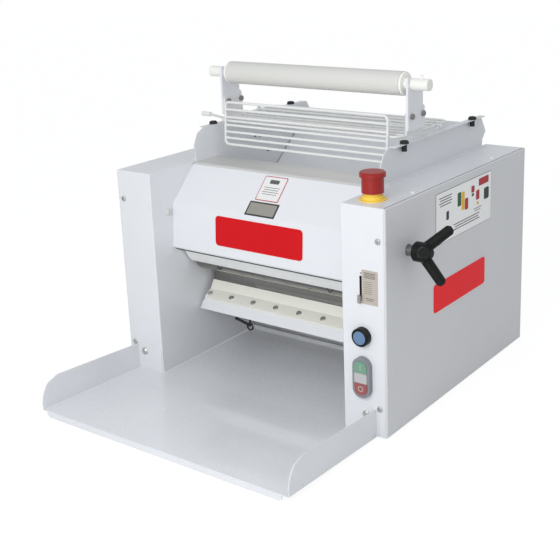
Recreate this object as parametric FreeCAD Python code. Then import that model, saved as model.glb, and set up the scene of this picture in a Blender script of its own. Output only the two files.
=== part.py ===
import FreeCAD, Part
import math
import os

# Countertop dough sheeter, in millimetres.
# Working frame: X to the right seen from the front, Y to the back, Z up.
# X = 0 is the middle of the body, Y = 0 the front of the two columns, Z = 0 the table.

V = FreeCAD.Vector

# Driving dimensions of the body
body_width = 570.0
body_depth = 502.0
body_top = 385.0
body_floor = 4.0
column_width = 81.6
sheet = 1.5
sheet_bend = 2.0
fit_gap = 0.1
seat_gap = 0.3
overrun = 5.0

# Driving dimensions of the rollers, whose line of centres leans back by roller_lean
roller_radius = 43.5
roller_end_gap = 8.4
roller_gap = 1.0
nip_y = 162.1
nip_z = 182.9
roller_lean = math.radians(52)
journal_radius = 12.5
running_gap = 0.05

# Bearing plates stand inside the housings, just behind their inner faces
plate_thick = 8.0
plate_inset = 3.0

# Derived places of the body
half_width = body_width / 2
column_inner = half_width - column_width
wall_inner = column_inner + sheet
plate_inner = column_inner + plate_inset
plate_outer = plate_inner + plate_thick
roller_length = 2 * (column_inner - roller_end_gap)

# Derived places of the rollers and of the adjusting shaft
half_centres = roller_radius + roller_gap / 2
lean_y = math.cos(roller_lean)
lean_z = math.sin(roller_lean)
front_y = nip_y - half_centres * lean_y
front_z = nip_z + half_centres * lean_z
rear_y = nip_y + half_centres * lean_y
rear_z = nip_z - half_centres * lean_z
shaft_reach = 108.0
shaft_y = front_y - shaft_reach * lean_y
shaft_z = front_z + shaft_reach * lean_z

# Opening of the rollers: the handle turns and the front roller slides away
handle_turn = math.radians(210)
roller_travel = 6.0
gauge_pitch_radius = 9.0

parts = {}


def in_yz(x):
    return lambda a, b: V(x, a, b)


def in_xz(y):
    return lambda a, b: V(a, y, b)


def in_xy(z):
    return lambda a, b: V(a, b, z)


def corner_edges(corners, closed, bevelled=False):
    """Lines and tangent arcs, or flat bevels, through (point, radius) corners."""
    count = len(corners)
    starts = []
    ends = []
    arcs = []
    for i, (point, radius) in enumerate(corners):
        end_point = not closed and i in (0, count - 1)
        if radius <= 0 or end_point:
            starts.append(point)
            ends.append(point)
            arcs.append(None)
            continue
        back = (corners[i - 1][0] - point).normalize()
        ahead = (corners[(i + 1) % count][0] - point).normalize()
        half = back.getAngle(ahead) / 2
        cut = radius / math.tan(half)
        middle = (back + ahead).normalize() * (radius / math.sin(half) - radius)
        starts.append(point + back * cut)
        ends.append(point + ahead * cut)
        if bevelled:
            arcs.append(Part.makeLine(starts[-1], ends[-1]))
        else:
            arcs.append(Part.Arc(starts[-1], point + middle, ends[-1]).toShape())
    edges = []
    for i in range(count):
        if arcs[i]:
            edges.append(arcs[i])
        if not closed and i == count - 1:
            break
        following = starts[(i + 1) % count]
        if ends[i].distanceToPoint(following) > 1e-6:
            edges.append(Part.makeLine(ends[i], following))
    return edges


def prism(points, place, along):
    """Solid with the outline (a, b, radius) in a plane, pushed along a vector."""
    corners = [(place(a, b), radius) for a, b, radius in points]
    face = Part.Face(Part.Wire(corner_edges(corners, True)))
    return face.extrude(along)


def plate_x(points, low, high):
    return prism(points, in_yz(low), V(high - low, 0, 0))


def plate_y(points, low, high):
    return prism(points, in_xz(low), V(0, high - low, 0))


def plate_z(points, low, high):
    return prism(points, in_xy(low), V(0, 0, high - low))


def rectangle(a0, b0, a1, b1, radius=0):
    return [(a0, b0, radius), (a1, b0, radius), (a1, b1, radius), (a0, b1, radius)]


def box(low, high):
    size = V(*high) - V(*low)
    return Part.makeBox(size.x, size.y, size.z, V(*low))


def rod_x(y, z, radius, low, high):
    return Part.makeCylinder(radius, high - low, V(low, y, z), V(1, 0, 0))


def rod_y(x, z, radius, low, high):
    return Part.makeCylinder(radius, high - low, V(x, low, z), V(0, 1, 0))


def rod_z(x, y, radius, low, high):
    return Part.makeCylinder(radius, high - low, V(x, y, low), V(0, 0, 1))


def fused(shapes):
    return shapes[0].fuse(shapes[1:]).removeSplitter()


def group(shapes):
    return Part.makeCompound(shapes)


def mirrored(shape):
    return shape.mirror(V(0, 0, 0), V(1, 0, 0))


def side_step(path, distance):
    """Points of an open path moved to its left by a distance, with mitred corners."""
    moved = []
    last = len(path) - 1
    for i, (a, b) in enumerate(path):
        sides = []
        for j in (i - 1, i):
            if 0 <= j < last:
                run = V(path[j + 1][0] - path[j][0], path[j + 1][1] - path[j][1], 0).normalize()
                sides.append(V(-run.y, run.x, 0))
        lean = sides[0] + sides[-1]
        scale = distance * 2 / lean.dot(lean) if len(sides) > 1 else distance / 2
        moved.append((a + lean.x * scale, b + lean.y * scale))
    return moved


def bent_sheet(path, thick, bend):
    """Outline of a folded sheet: the path, and its copy a thickness to the left."""
    turns = [0]
    for i in range(1, len(path) - 1):
        before = V(path[i][0] - path[i - 1][0], path[i][1] - path[i - 1][1], 0)
        after = V(path[i + 1][0] - path[i][0], path[i + 1][1] - path[i][1], 0)
        turns.append(before.cross(after).z)
    turns.append(0)
    near = []
    for (a, b), turn in zip(path, turns):
        near.append((a, b, 0 if turn == 0 else bend + thick if turn > 0 else bend))
    far = []
    for (a, b), turn in zip(side_step(path, thick), turns):
        far.append((a, b, 0 if turn == 0 else bend if turn > 0 else bend + thick))
    return near + far[::-1]


def tube(points, radius, bend, closed=False):
    """Round wire along straight runs, joined by tangent arcs or mitred corners."""
    spine = Part.Wire(corner_edges([(point, bend) for point in points], closed))
    first = spine.OrderedEdges[0]
    start = first.valueAt(first.FirstParameter)
    run = first.tangentAt(first.FirstParameter)
    ring = Part.Wire(Part.makeCircle(radius, start, run))
    return spine.makePipeShell([ring], True, False, 1)


def turned(profile, x_axis_y, x_axis_z, bevelled=True):
    """Solid of revolution about a line along X; the profile is (x, radius, bevel)."""
    corners = [(V(x, x_axis_y + radius, x_axis_z), rounding) for x, radius, rounding in profile]
    face = Part.Face(Part.Wire(corner_edges(corners, True, bevelled)))
    return face.revolve(V(0, x_axis_y, x_axis_z), V(1, 0, 0), 360)


def turned_z(profile, x, y):
    """Solid of revolution about a vertical line; the profile is (radius, z, bevel)."""
    corners = [(V(x + radius, y, z), rounding) for radius, z, rounding in profile]
    face = Part.Face(Part.Wire(corner_edges(corners, True, True)))
    return face.revolve(V(x, y, 0), V(0, 0, 1), 360)


def turned_y(profile, x, z):
    """Solid of revolution about a line along Y; the profile is (y, radius, bevel)."""
    corners = [(V(x + radius, y, z), rounding) for y, radius, rounding in profile]
    face = Part.Face(Part.Wire(corner_edges(corners, True, True)))
    return face.revolve(V(x, 0, z), V(0, 1, 0), 360)


# Spur gears: involute flanks of a 20 degree pressure angle
pressure_angle = math.radians(20)
root_depth_share = 1.25
backlash_share = 0.03


def flank_angle(radius, base):
    slope = math.acos(min(1, base / radius))
    return math.tan(slope) - slope


def gear(y, z, low, high, module, teeth, bore, phase):
    """Spur gear about a line along X, with one tooth centred on the angle phase."""
    pitch = module * teeth / 2
    base = pitch * math.cos(pressure_angle)
    root = pitch - root_depth_share * module
    tip = pitch + module
    thick = math.pi / 2 / teeth - backlash_share * module / pitch + flank_angle(pitch, base)
    radii = [root, max(root, base), pitch, tip]
    if radii[1] - radii[0] < backlash_share * module:
        radii.pop(1)
    corners = []
    for tooth in range(teeth):
        middle = phase + 2 * math.pi * tooth / teeth
        for side, order in ((-1, radii), (1, radii[::-1])):
            for radius in order:
                angle = middle + side * (thick - flank_angle(radius, base))
                corners.append(V(low, y + radius * math.cos(angle), z + radius * math.sin(angle)))
    face = Part.Face(Part.makePolygon(corners + corners[:1]))
    body = face.extrude(V(high - low, 0, 0))
    return body.cut(rod_x(y, z, bore, low - overrun, high + overrun))


# Shapes in the slanted frame of the rollers: along runs from the front roller to the adjusting shaft
def slanted(points):
    out = []
    for along, across, rounding in points:
        y = front_y - along * lean_y + across * lean_z
        z = front_z + along * lean_z + across * lean_y
        out.append((y, z, rounding))
    return out


def both_sides(shape):
    return [shape, mirrored(shape)]


# Base plate: a U-shaped floor under both housings, joined behind the tray
base_thick = 2.0
bridge_front = 274.0
base_side_gap = 3.5
base_top = body_floor + base_thick
foot_radius = 16.0
foot_inset = 30.0
foot_stud = 3.0
foot_x = half_width - column_width / 2
foot_places = []
for foot_side in (-1, 1):
    for foot_y in (foot_inset, body_depth - foot_inset):
        foot_places.append((foot_side * foot_x, foot_y))

outer = half_width - 2 * sheet - seat_gap
inner = wall_inner + seat_gap
back = body_depth - base_side_gap
base_outline = [(-outer, base_side_gap, 0), (-inner, base_side_gap, 0), (-inner, bridge_front, 0),
                (inner, bridge_front, 0), (inner, base_side_gap, 0), (outer, base_side_gap, 0),
                (outer, back, 0), (-outer, back, 0)]
base = plate_z(base_outline, body_floor, base_top)
for side in (-1, 1):
    # The inner wall of each housing stands in a slot of the plate behind the bridge
    slot_low = min(side * (column_inner - seat_gap), side * inner)
    slot_high = max(side * (column_inner - seat_gap), side * inner)
    base = base.cut(box((slot_low, bridge_front - overrun, 0),
                        (slot_high, back + overrun, base_top + overrun)))
feet = []
for x, y in foot_places:
    base = base.cut(rod_z(x, y, foot_stud + fit_gap, 0, base_top + overrun))
    foot_profile = [(0, 0, 0), (foot_radius, 0, 0), (foot_radius, body_floor, 0),
                    (foot_stud, body_floor, 0),
                    (foot_stud, base_top + base_thick, 0), (0, base_top + base_thick, 0)]
    feet.append(turned_z(foot_profile, x, y))
parts["rubber_feet"] = group(feet)

# The strips of the base behind the bridge are kept as one plate by the bridge in front of the slots
slot_bridge = 12.0
bridge_tongue = box((-inner - overrun, bridge_front, body_floor),
                    (inner + overrun, bridge_front + slot_bridge, base_top))
base = base.fuse(bridge_tongue).removeSplitter()
parts["base_plate"] = base

# Housings: folded sheet boxes, open on the outside and below
edge_round = 2.0
cover_depth = 3.0
cover_round = 2.5
flange_depth = 17.0
cover_edge = half_width - cover_depth
journal_hole = 20.0
shaft_radius = 7.0
shaft_boss_radius = 9.0
shaft_boss_gap = 0.5
shaft_bush_radius = 12.0
rear_bush_radius = 17.0
bush_flange = 3.0

block_half = 24.0
block_across = 21.9
block_flange = 27.0
slot_play = 0.1
hole_margin = 2.0

# Parts of the front of the right housing
control_inset = 48.0
button_inset = 43.0
control_x = half_width - control_inset
button_x = half_width - button_inset
blue_z = 172.4
blue_hole = 13.0
double_z = 103.1
double_hole_x = 13.0
double_hole_z = 24.0
gauge_inset = 45.5
gauge_slot_x = half_width - gauge_inset
gauge_slot_half = 2.8
gauge_slot_low = 231.0
gauge_slot_high = 272.3
gauge_dot_radius = 1.3
gauge_dot_rise = 4.3
estop_y = 42.5
estop_hole = 11.2
motor_inset = 78.0
motor_y = body_depth - motor_inset
motor_z = 90.0
motor_shaft_radius = 9.0
motor_hole = 14.0

housing_body = plate_z(rectangle(column_inner, 0, cover_edge - seat_gap, body_depth), body_floor, body_top)
top_edges = []
for edge in housing_body.Edges:
    box_of_edge = edge.BoundBox
    upright = box_of_edge.ZLength > sheet and box_of_edge.XMax < half_width - column_width / 2
    across_top = box_of_edge.ZMin > body_top - sheet and box_of_edge.YLength < sheet
    inner_top = box_of_edge.ZMin > body_top - sheet and box_of_edge.XMax < column_inner + sheet
    if upright or across_top or inner_top:
        top_edges.append(edge)
housing_body = housing_body.makeFillet(edge_round, top_edges)
housing = housing_body.cut(box((wall_inner, sheet, 0),
                               (half_width + overrun, body_depth - sheet, body_top - sheet)))
through_low = column_inner - overrun
through_high = wall_inner + overrun
front_slot = slanted([(-journal_hole, -journal_hole, edge_round),
                      (journal_hole + roller_travel, -journal_hole, edge_round),
                      (journal_hole + roller_travel, journal_hole, edge_round), (-journal_hole,
                                                                                 journal_hole, edge_round)])
housing = housing.cut(plate_x(front_slot, through_low, through_high))
housing = housing.cut(rod_x(rear_y, rear_z, journal_hole, through_low, through_high))
housing = housing.cut(rod_x(shaft_y, shaft_z, shaft_bush_radius + hole_margin, through_low, through_high))
bridge_slot = box((through_low, bridge_front - seat_gap, 0),
                  (through_high, bridge_front + slot_bridge + seat_gap, base_top + seat_gap))
housing = housing.cut(bridge_slot)
left_housing = mirrored(housing)
left_housing = left_housing.cut(rod_x(motor_y, motor_z, motor_hole, -through_high, -through_low))

right_housing = housing.cut(rod_y(button_x, blue_z, blue_hole, -overrun, overrun))
double_hole = rectangle(button_x - double_hole_x, double_z - double_hole_z,
                        button_x + double_hole_x, double_z + double_hole_z, edge_round)
right_housing = right_housing.cut(plate_y(double_hole, -overrun, overrun))
gauge_hole = rectangle(gauge_slot_x - gauge_slot_half, gauge_slot_low, gauge_slot_x + gauge_slot_half,
                       gauge_slot_high)
right_housing = right_housing.cut(plate_y(gauge_hole, -overrun, overrun))
gauge_dot_z = gauge_slot_high + gauge_dot_rise
right_housing = right_housing.cut(rod_y(gauge_slot_x, gauge_dot_z, gauge_dot_radius, -overrun, overrun))
right_housing = right_housing.cut(rod_z(control_x, estop_y, estop_hole, body_top - overrun,
                                        body_top + overrun))

# Side covers: an outer pan with a flange that slides into the housing
cover = box((cover_edge, 0, body_floor), (half_width, body_depth, body_top))
rim_edges = []
for edge in cover.Edges:
    if edge.BoundBox.XMin > half_width - sheet:
        rim_edges.append(edge)
cover = cover.makeFillet(cover_round, rim_edges)
cover = cover.cut(box((0, sheet, body_floor + sheet),
                      (half_width - sheet, body_depth - sheet, body_top - sheet)))
flange_out = sheet + fit_gap
flange_in = flange_out + sheet
flange_ring = box((cover_edge - flange_depth, flange_out, base_top + seat_gap),
                  (half_width - sheet, body_depth - flange_out, body_top - flange_out))
flange_ring = flange_ring.cut(box((0, flange_in, 0),
                                  (half_width, body_depth - flange_in, body_top - flange_in)))
cover = cover.fuse(flange_ring).removeSplitter()
parts["left_cover"] = mirrored(cover)
parts["right_cover"] = cover.cut(rod_x(shaft_y, shaft_z, shaft_boss_radius + shaft_boss_gap, 0,
                                       half_width + overrun))

# Bearing plates carry both rollers, the adjusting shaft and the counter shaft
plate_front = 22.0
plate_rear = 352.0
plate_top = 348.0
plate_top_rear = 150.0
plate_slope_y = 240.0
plate_slope_z = 262.0
plate_rear_top = 196.0
plate_round = 25.0
plate_nose = 12.0
plate_nose_drop = 18.0
plate_outline = [(plate_front, base_top, 0), (plate_rear, base_top, 0),
                 (plate_rear, plate_rear_top, plate_round),
                 (plate_slope_y, plate_slope_z, plate_round), (plate_top_rear, plate_top, plate_round),
                 (plate_front + plate_nose, plate_top, 0), (plate_front, plate_top - plate_nose_drop, 0)]
tie_radius = 8.0
tie_thread = 5.0
tie_nut = 9.0
tie_nut_thick = 6.0
tie_high_y = 118.0
tie_high_z = 332.0
tie_rear_y = 297.0
tie_rear_z = 196.0
tie_low_z = 40.0
nut_sides = 6
tie_places = [(tie_high_y, tie_high_z), (tie_rear_y, tie_low_z), (tie_rear_y, tie_rear_z)]
side_plate = plate_x(plate_outline, plate_inner, plate_outer)
plate_low = plate_inner - overrun
plate_high = plate_outer + overrun
half_slot = block_across + slot_play
block_slot = slanted([(-block_half - hole_margin, -half_slot, 0),
                      (block_half + roller_travel + hole_margin, -half_slot, 0),
                      (block_half + roller_travel + hole_margin, half_slot,
                       0), (-block_half - hole_margin, half_slot, 0)])
side_plate = side_plate.cut(plate_x(block_slot, plate_low, plate_high))
side_plate = side_plate.cut(rod_x(rear_y, rear_z, rear_bush_radius + fit_gap, plate_low, plate_high))
side_plate = side_plate.cut(rod_x(shaft_y, shaft_z, shaft_bush_radius + fit_gap, plate_low, plate_high))


def hexagon(y, z, radius, low, high):
    corners = []
    for corner in range(nut_sides):
        angle = 2 * math.pi * corner / nut_sides
        corners.append((y + radius * math.cos(angle), z + radius * math.sin(angle), 0))
    return plate_x(corners, low, high)


ties = []
for y, z in tie_places:
    side_plate = side_plate.cut(rod_x(y, z, tie_thread + fit_gap, plate_low, plate_high))
    end = plate_outer + tie_nut_thick
    bar = rod_x(y, z, tie_radius, -plate_inner, plate_inner)
    studs = rod_x(y, z, tie_thread, -end, end)
    nuts = []
    for side in (-1, 1):
        nut_low = min(side * plate_outer, side * end)
        nuts.append(hexagon(y, z, tie_nut, nut_low, nut_low + tie_nut_thick))
    ties.append(fused([bar, studs] + nuts))
parts["tie_bars"] = group(ties)
for name in ("left", "right"):
    for y, z in tie_places:
        hole = rod_x(y, z, tie_radius + seat_gap, through_low, through_high)
        if name == "left":
            left_housing = left_housing.cut(mirrored(hole))
        else:
            right_housing = right_housing.cut(hole)
parts["left_housing"] = left_housing
parts["right_housing"] = right_housing

# Counter shaft with its pinion, driven by the belt and driving the rear roller
drive_module = 3.0
bull_teeth = 73
pinion_teeth = 15
counter_angle = math.radians(10)
drive_distance = drive_module * (bull_teeth + pinion_teeth) / 2
counter_y = rear_y + drive_distance * math.cos(counter_angle)
counter_z = rear_z + drive_distance * math.sin(counter_angle)
drive_clear = 17.6
drive_low = plate_outer + drive_clear
drive_width = 12.0
drive_high = drive_low + drive_width
belt_clear = 6.0
belt_low = drive_high + belt_clear
belt_width = 12.0
belt_high = belt_low + belt_width
counter_radius = 9.0
counter_bush_radius = 18.0
counter_bush_reach = 14.6
counter_bush_end = plate_outer + counter_bush_reach
left_plate = mirrored(side_plate)
counter_hole = rod_x(counter_y, counter_z, counter_bush_radius + fit_gap, -plate_high, -plate_low)
motor_pass = rod_x(motor_y, motor_z, motor_hole, -plate_high, -plate_low)
parts["left_side_plate"] = left_plate.cut(counter_hole).cut(motor_pass)
parts["right_side_plate"] = side_plate

# Bearing bushes, each with a collar on the outside of its plate
def flanged_bush(y, z, bore, radius, low, face, high):
    body = rod_x(y, z, radius, low, face).fuse(rod_x(y, z, radius + bush_flange, face, high))
    return body.removeSplitter().cut(rod_x(y, z, bore + running_gap, low - overrun, high + overrun))


bush_face = plate_outer + fit_gap
rear_bush = flanged_bush(rear_y, rear_z, journal_radius, rear_bush_radius, plate_inner, bush_face,
                         bush_face + bush_flange)
shaft_bush = rod_x(shaft_y, shaft_z, shaft_bush_radius, plate_inner, plate_outer)
shaft_bush = shaft_bush.cut(rod_x(shaft_y, shaft_z, shaft_radius + running_gap, plate_low, plate_high))
counter_bush = mirrored(flanged_bush(counter_y, counter_z, counter_radius, counter_bush_radius,
                                     plate_inner, bush_face, counter_bush_end))
parts["bearing_bushes"] = group(both_sides(rear_bush) + both_sides(shaft_bush) + [counter_bush])

# Rear roller with its two gears
roller_edge = 1.5
journal_reach = 33.6
short_journal_reach = 8.1
mesh_clear = 15.6
journal_end = plate_outer + journal_reach
left_journal_end = plate_outer + short_journal_reach
mesh_low = plate_outer + mesh_clear
mesh_width = 15.0
mesh_high = mesh_low + mesh_width
roller_module = 4.0
roller_teeth = 22
half_roller = roller_length / 2


def roller(y, z, left_end, right_end):
    body = turned([(-half_roller, 0, 0), (-half_roller, roller_radius, roller_edge),
                   (half_roller, roller_radius, roller_edge), (half_roller, 0, 0)], y, z)
    return fused([body, rod_x(y, z, journal_radius, -left_end, right_end)])


line_angle = math.atan2(rear_z - front_z, rear_y - front_y)
parts["rear_roller"] = roller(rear_y, rear_z, journal_end, journal_end)
parts["front_roller"] = roller(front_y, front_z, left_journal_end, journal_end)
gear_bore = journal_radius + fit_gap
parts["front_roller_gear"] = gear(front_y, front_z, mesh_low, mesh_high, roller_module, roller_teeth,
                                  gear_bore, line_angle)
rear_phase = line_angle + math.pi + math.pi / roller_teeth
parts["rear_roller_gear"] = gear(rear_y, rear_z, mesh_low, mesh_high, roller_module, roller_teeth,
                                 gear_bore, rear_phase)
bull = gear(rear_y, rear_z, -drive_high, -drive_low, drive_module, bull_teeth, gear_bore, counter_angle)
parts["bull_gear"] = bull
shaft_proud = 4.0
counter_end = belt_high + shaft_proud
pinion_phase = counter_angle + math.pi + math.pi / pinion_teeth
pinion = gear(counter_y, counter_z, -drive_high, -drive_low, drive_module, pinion_teeth,
              counter_radius / 2, pinion_phase)
parts["counter_shaft"] = fused([rod_x(counter_y, counter_z, counter_radius, -counter_end, -plate_inner),
                                pinion])

# Belt drive
pulley_ratio = 92 / 28
pulley_gap = 12.56
pulley_distance = math.hypot(motor_y - counter_y, motor_z - counter_z)
small_pulley_radius = (pulley_distance - pulley_gap) / (1 + pulley_ratio)
big_pulley_radius = pulley_ratio * small_pulley_radius
groove_depth = 8.0
rim_face = 1.5
belt_gap = 0.3
motor_shaft_end = counter_end


def pulley(y, z, radius, bore):
    middle = -(belt_low + belt_width / 2)
    profile = [(-belt_high, bore, 0), (-belt_high, radius, 0), (-belt_high + rim_face, radius, 0),
               (middle - rim_face, radius - groove_depth, 0), (middle + rim_face, radius - groove_depth, 0),
               (-belt_low - rim_face, radius, 0), (-belt_low, radius, 0), (-belt_low, bore, 0)]
    return turned(profile, y, z)


big_pulley = pulley(counter_y, counter_z, big_pulley_radius, counter_radius + fit_gap)
parts["counter_pulley"] = big_pulley
parts["motor_pulley"] = pulley(motor_y, motor_z, small_pulley_radius, motor_shaft_radius + fit_gap)


def arc_radial(y, z, radius, angle):
    return V(0, y + radius * math.cos(angle), z + radius * math.sin(angle))


def belt_face(radius_big, radius_small):
    """Outline round both pulleys: two arcs and the two straight runs between them."""
    run_y = motor_y - counter_y
    run_z = motor_z - counter_z
    heading = math.atan2(run_z, run_y)
    spread = math.acos((radius_big - radius_small) / math.hypot(run_y, run_z))
    up = heading + spread
    down = heading - spread
    big_up = arc_radial(counter_y, counter_z, radius_big, up)
    big_far = arc_radial(counter_y, counter_z, radius_big, heading + math.pi)
    big_down = arc_radial(counter_y, counter_z, radius_big, down)
    small_up = arc_radial(motor_y, motor_z, radius_small, up)
    small_far = arc_radial(motor_y, motor_z, radius_small, heading)
    small_down = arc_radial(motor_y, motor_z, radius_small, down)
    edges = [Part.Arc(big_up, big_far, big_down).toShape(), Part.makeLine(big_down, small_down),
             Part.Arc(small_down, small_far, small_up).toShape(), Part.makeLine(small_up, big_up)]
    return Part.Face(Part.Wire(edges))


belt_half = belt_width / 2 - rim_face - belt_gap - sheet
belt_inset = groove_depth * belt_half / (belt_width / 2 - rim_face)
belt_outer = belt_face(big_pulley_radius, small_pulley_radius)
belt_inner = belt_face(big_pulley_radius - belt_inset, small_pulley_radius - belt_inset)
belt = belt_outer.cut(belt_inner).extrude(V(belt_half * 2, 0, 0))
belt.translate(V(-belt_low - belt_width / 2 - belt_half, 0, 0))
parts["v_belt"] = belt

# Motor in the middle compartment, lying in a saddle on the base plate
motor_radius = 56.0
motor_cap_radius = 45.0
motor_round = 6.0
motor_left_gap = 53.4
motor_right_gap = 113.4
motor_left = column_inner - motor_left_gap
motor_right = column_inner - motor_right_gap
motor_cap = 14.0
saddle_left_inset = 20.0
saddle_right_inset = 30.0
saddle_left = motor_left - saddle_left_inset
saddle_right = motor_right - saddle_right_inset
saddle_half = 52.0
saddle_top = 58.0
motor_profile = [(-motor_left, 0, 0), (-motor_left, motor_cap_radius, motor_round),
                 (-motor_left + motor_cap, motor_radius, motor_round), (motor_right - motor_cap,
                                                                        motor_radius, motor_round),
                 (motor_right, motor_cap_radius, motor_round), (motor_right, 0, 0)]
motor = turned(motor_profile, motor_y, motor_z)
parts["motor"] = motor.cut(rod_x(motor_y, motor_z, motor_shaft_radius + running_gap,
                                 -motor_left - overrun, 0))
saddle = box((-saddle_left, motor_y - saddle_half, base_top),
             (saddle_right, motor_y + saddle_half, saddle_top))
saddle_window = box((-saddle_left + motor_cap, motor_y - saddle_half - overrun, base_top + base_thick),
                    (saddle_right - motor_cap, motor_y + saddle_half + overrun, saddle_top))
saddle = saddle.cut(rod_x(motor_y, motor_z, motor_radius + fit_gap, -half_width, half_width))
saddle = saddle.cut(rod_x(tie_rear_y, tie_low_z, tie_radius + hole_margin, -half_width, half_width))
parts["motor_saddle"] = saddle.cut(saddle_window)
parts["motor_shaft"] = rod_x(motor_y, motor_z, motor_shaft_radius, -motor_shaft_end, -motor_cap)

# Bearing blocks of the front roller: each slides in its plate and carries a pin for the scroll disc
stem_thick = 3.0
stem_half = 8.0
pin_radius = 3.0
scroll_start = 26.0
scroll_clear = 5.6
scroll_low = plate_outer + scroll_clear
scroll_thick = 6.0
scroll_high = scroll_low + scroll_thick
scroll_radius = 35.0
scroll_play = 0.15
pin_along = shaft_reach - scroll_start
stem_low = bush_face
stem_high = stem_low + stem_thick
block = plate_x(slanted([(-block_half, -block_across, 0), (block_half, -block_across, 0),
                         (block_half, block_across, 0), (-block_half, block_across,
                                                         0)]), plate_inner, plate_outer)
flange = plate_x(slanted([(-block_flange, -block_flange, edge_round),
                          (block_flange, -block_flange, edge_round),
                          (block_flange, block_flange, edge_round), (-block_flange, block_flange,
                                                                     edge_round)]),
                 stem_low, stem_high)
neck = plate_x(slanted([(-block_half, -stem_half, 0), (block_half, -stem_half, 0),
                        (block_half, stem_half, 0), (-block_half, stem_half,
                                                     0)]), plate_outer - fit_gap, stem_high)
stem = plate_x(slanted([(0, -stem_half, 0), (pin_along + stem_half, -stem_half, stem_half / 2),
                        (pin_along + stem_half, stem_half, stem_half / 2), (0, stem_half,
                                                                            0)]), stem_low, stem_high)
pin_y = front_y - pin_along * lean_y
pin_z = front_z + pin_along * lean_z
slide_pin = rod_x(pin_y, pin_z, pin_radius, stem_high - fit_gap, scroll_high + fit_gap)
bearing_block = fused([block, flange, neck, stem, slide_pin])
bearing_block = bearing_block.cut(rod_x(front_y, front_z, journal_radius + running_gap, plate_low,
                                        scroll_high))
parts["bearing_blocks"] = group(both_sides(bearing_block))


# Adjusting shaft, its scroll discs, the handle and the gap pointer
def scroll_point(turn, offset):
    """Point of the spiral slot for a turn of the shaft, moved outward by an offset."""
    share = turn / handle_turn
    radius = scroll_start - roller_travel * share + offset
    angle = math.atan2(-lean_z, lean_y) + turn
    return V(scroll_low - overrun, shaft_y + radius * math.cos(angle), shaft_z + radius * math.sin(angle))


scroll_steps = 8
slot_width = pin_radius + scroll_play
outer_points = []
inner_points = []
for step in range(scroll_steps + 1):
    turn = handle_turn * step / scroll_steps
    outer_points.append(scroll_point(turn, slot_width))
    inner_points.append(scroll_point(turn, -slot_width))
outer_curve = Part.BSplineCurve()
outer_curve.interpolate(outer_points)
inner_curve = Part.BSplineCurve()
inner_curve.interpolate(inner_points)
end_turn = slot_width / (scroll_start - roller_travel)
start_cap = Part.Arc(inner_points[0], scroll_point(-end_turn, 0), outer_points[0]).toShape()
end_cap = Part.Arc(outer_points[-1], scroll_point(handle_turn + end_turn, 0), inner_points[-1]).toShape()
slot_wire = Part.Wire([start_cap, outer_curve.toShape(), end_cap, inner_curve.toShape()])
slot_solid = Part.Face(slot_wire).extrude(V(scroll_thick + 2 * overrun, 0, 0))
disc = rod_x(shaft_y, shaft_z, scroll_radius, scroll_low, scroll_high)
disc = disc.cut(rod_x(shaft_y, shaft_z, shaft_radius + fit_gap, scroll_low - overrun,
                      scroll_high + overrun))
disc = disc.cut(slot_solid)
parts["scroll_discs"] = group(both_sides(disc))

gauge_module = 1.0
gauge_teeth = 18
gauge_shift = 5.5
gauge_low = gauge_slot_x - gauge_shift
gauge_width = 6.0
gauge_high = gauge_low + gauge_width
shaft_left_end = scroll_high + shaft_proud
shaft_out = 21.0
boss_depth = 23.0
shaft_right_end = half_width + shaft_out
boss_start = half_width - boss_depth
gauge_gear = gear(shaft_y, shaft_z, gauge_low, gauge_high, gauge_module, gauge_teeth, shaft_radius / 2,
                  math.pi)
adjust_shaft = fused([rod_x(shaft_y, shaft_z, shaft_radius, -shaft_left_end, boss_start + fit_gap),
                      gauge_gear,
                      rod_x(shaft_y, shaft_z, shaft_boss_radius, boss_start, shaft_right_end)])
parts["adjusting_shaft"] = adjust_shaft

handle_out = 62.0
handle_reach = half_width + handle_out
handle_tip_radius = 8.3
handle_tip_circle = 48.0
handle_arm_radius = 9.2
handle_arms = 3
tip_end_share = 0.6
tip_length_share = 0.5
handle_first = math.radians(41)
hub_out = 12.0
hub_length = 30.0
hub_low = half_width + hub_out
hub_high = hub_low + hub_length
hub_radius = 16.0
hub_round = 9.0
hub_waist = 10.0
handle_hub = turned([(hub_low, 0, 0), (hub_low, hub_radius, edge_round), (hub_high, hub_radius, hub_round),
                     (hub_high, 0, 0)], shaft_y, shaft_z)
handle = handle_hub
arm_start = V(hub_low + hub_waist, shaft_y, shaft_z)
for arm in range(handle_arms):
    angle = handle_first + 2 * math.pi * arm / handle_arms
    tip = V(handle_reach - handle_tip_radius, shaft_y + handle_tip_circle * math.cos(angle),
            shaft_z + handle_tip_circle * math.sin(angle))
    run = (tip - arm_start).normalize()
    length = (tip - arm_start).Length
    arm_end = arm_start + run * length
    handle = handle.fuse(Part.makeCone(handle_arm_radius, handle_tip_radius, length, arm_start, run))
    handle = handle.fuse(Part.makeCone(handle_tip_radius, handle_tip_radius * tip_end_share,
                                       handle_tip_radius * tip_length_share, arm_end, run))
shaft_socket = rod_x(shaft_y, shaft_z, shaft_boss_radius + fit_gap, hub_low - overrun,
                     shaft_right_end + fit_gap)
parts["three_arm_handle"] = handle.cut(shaft_socket)

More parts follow.
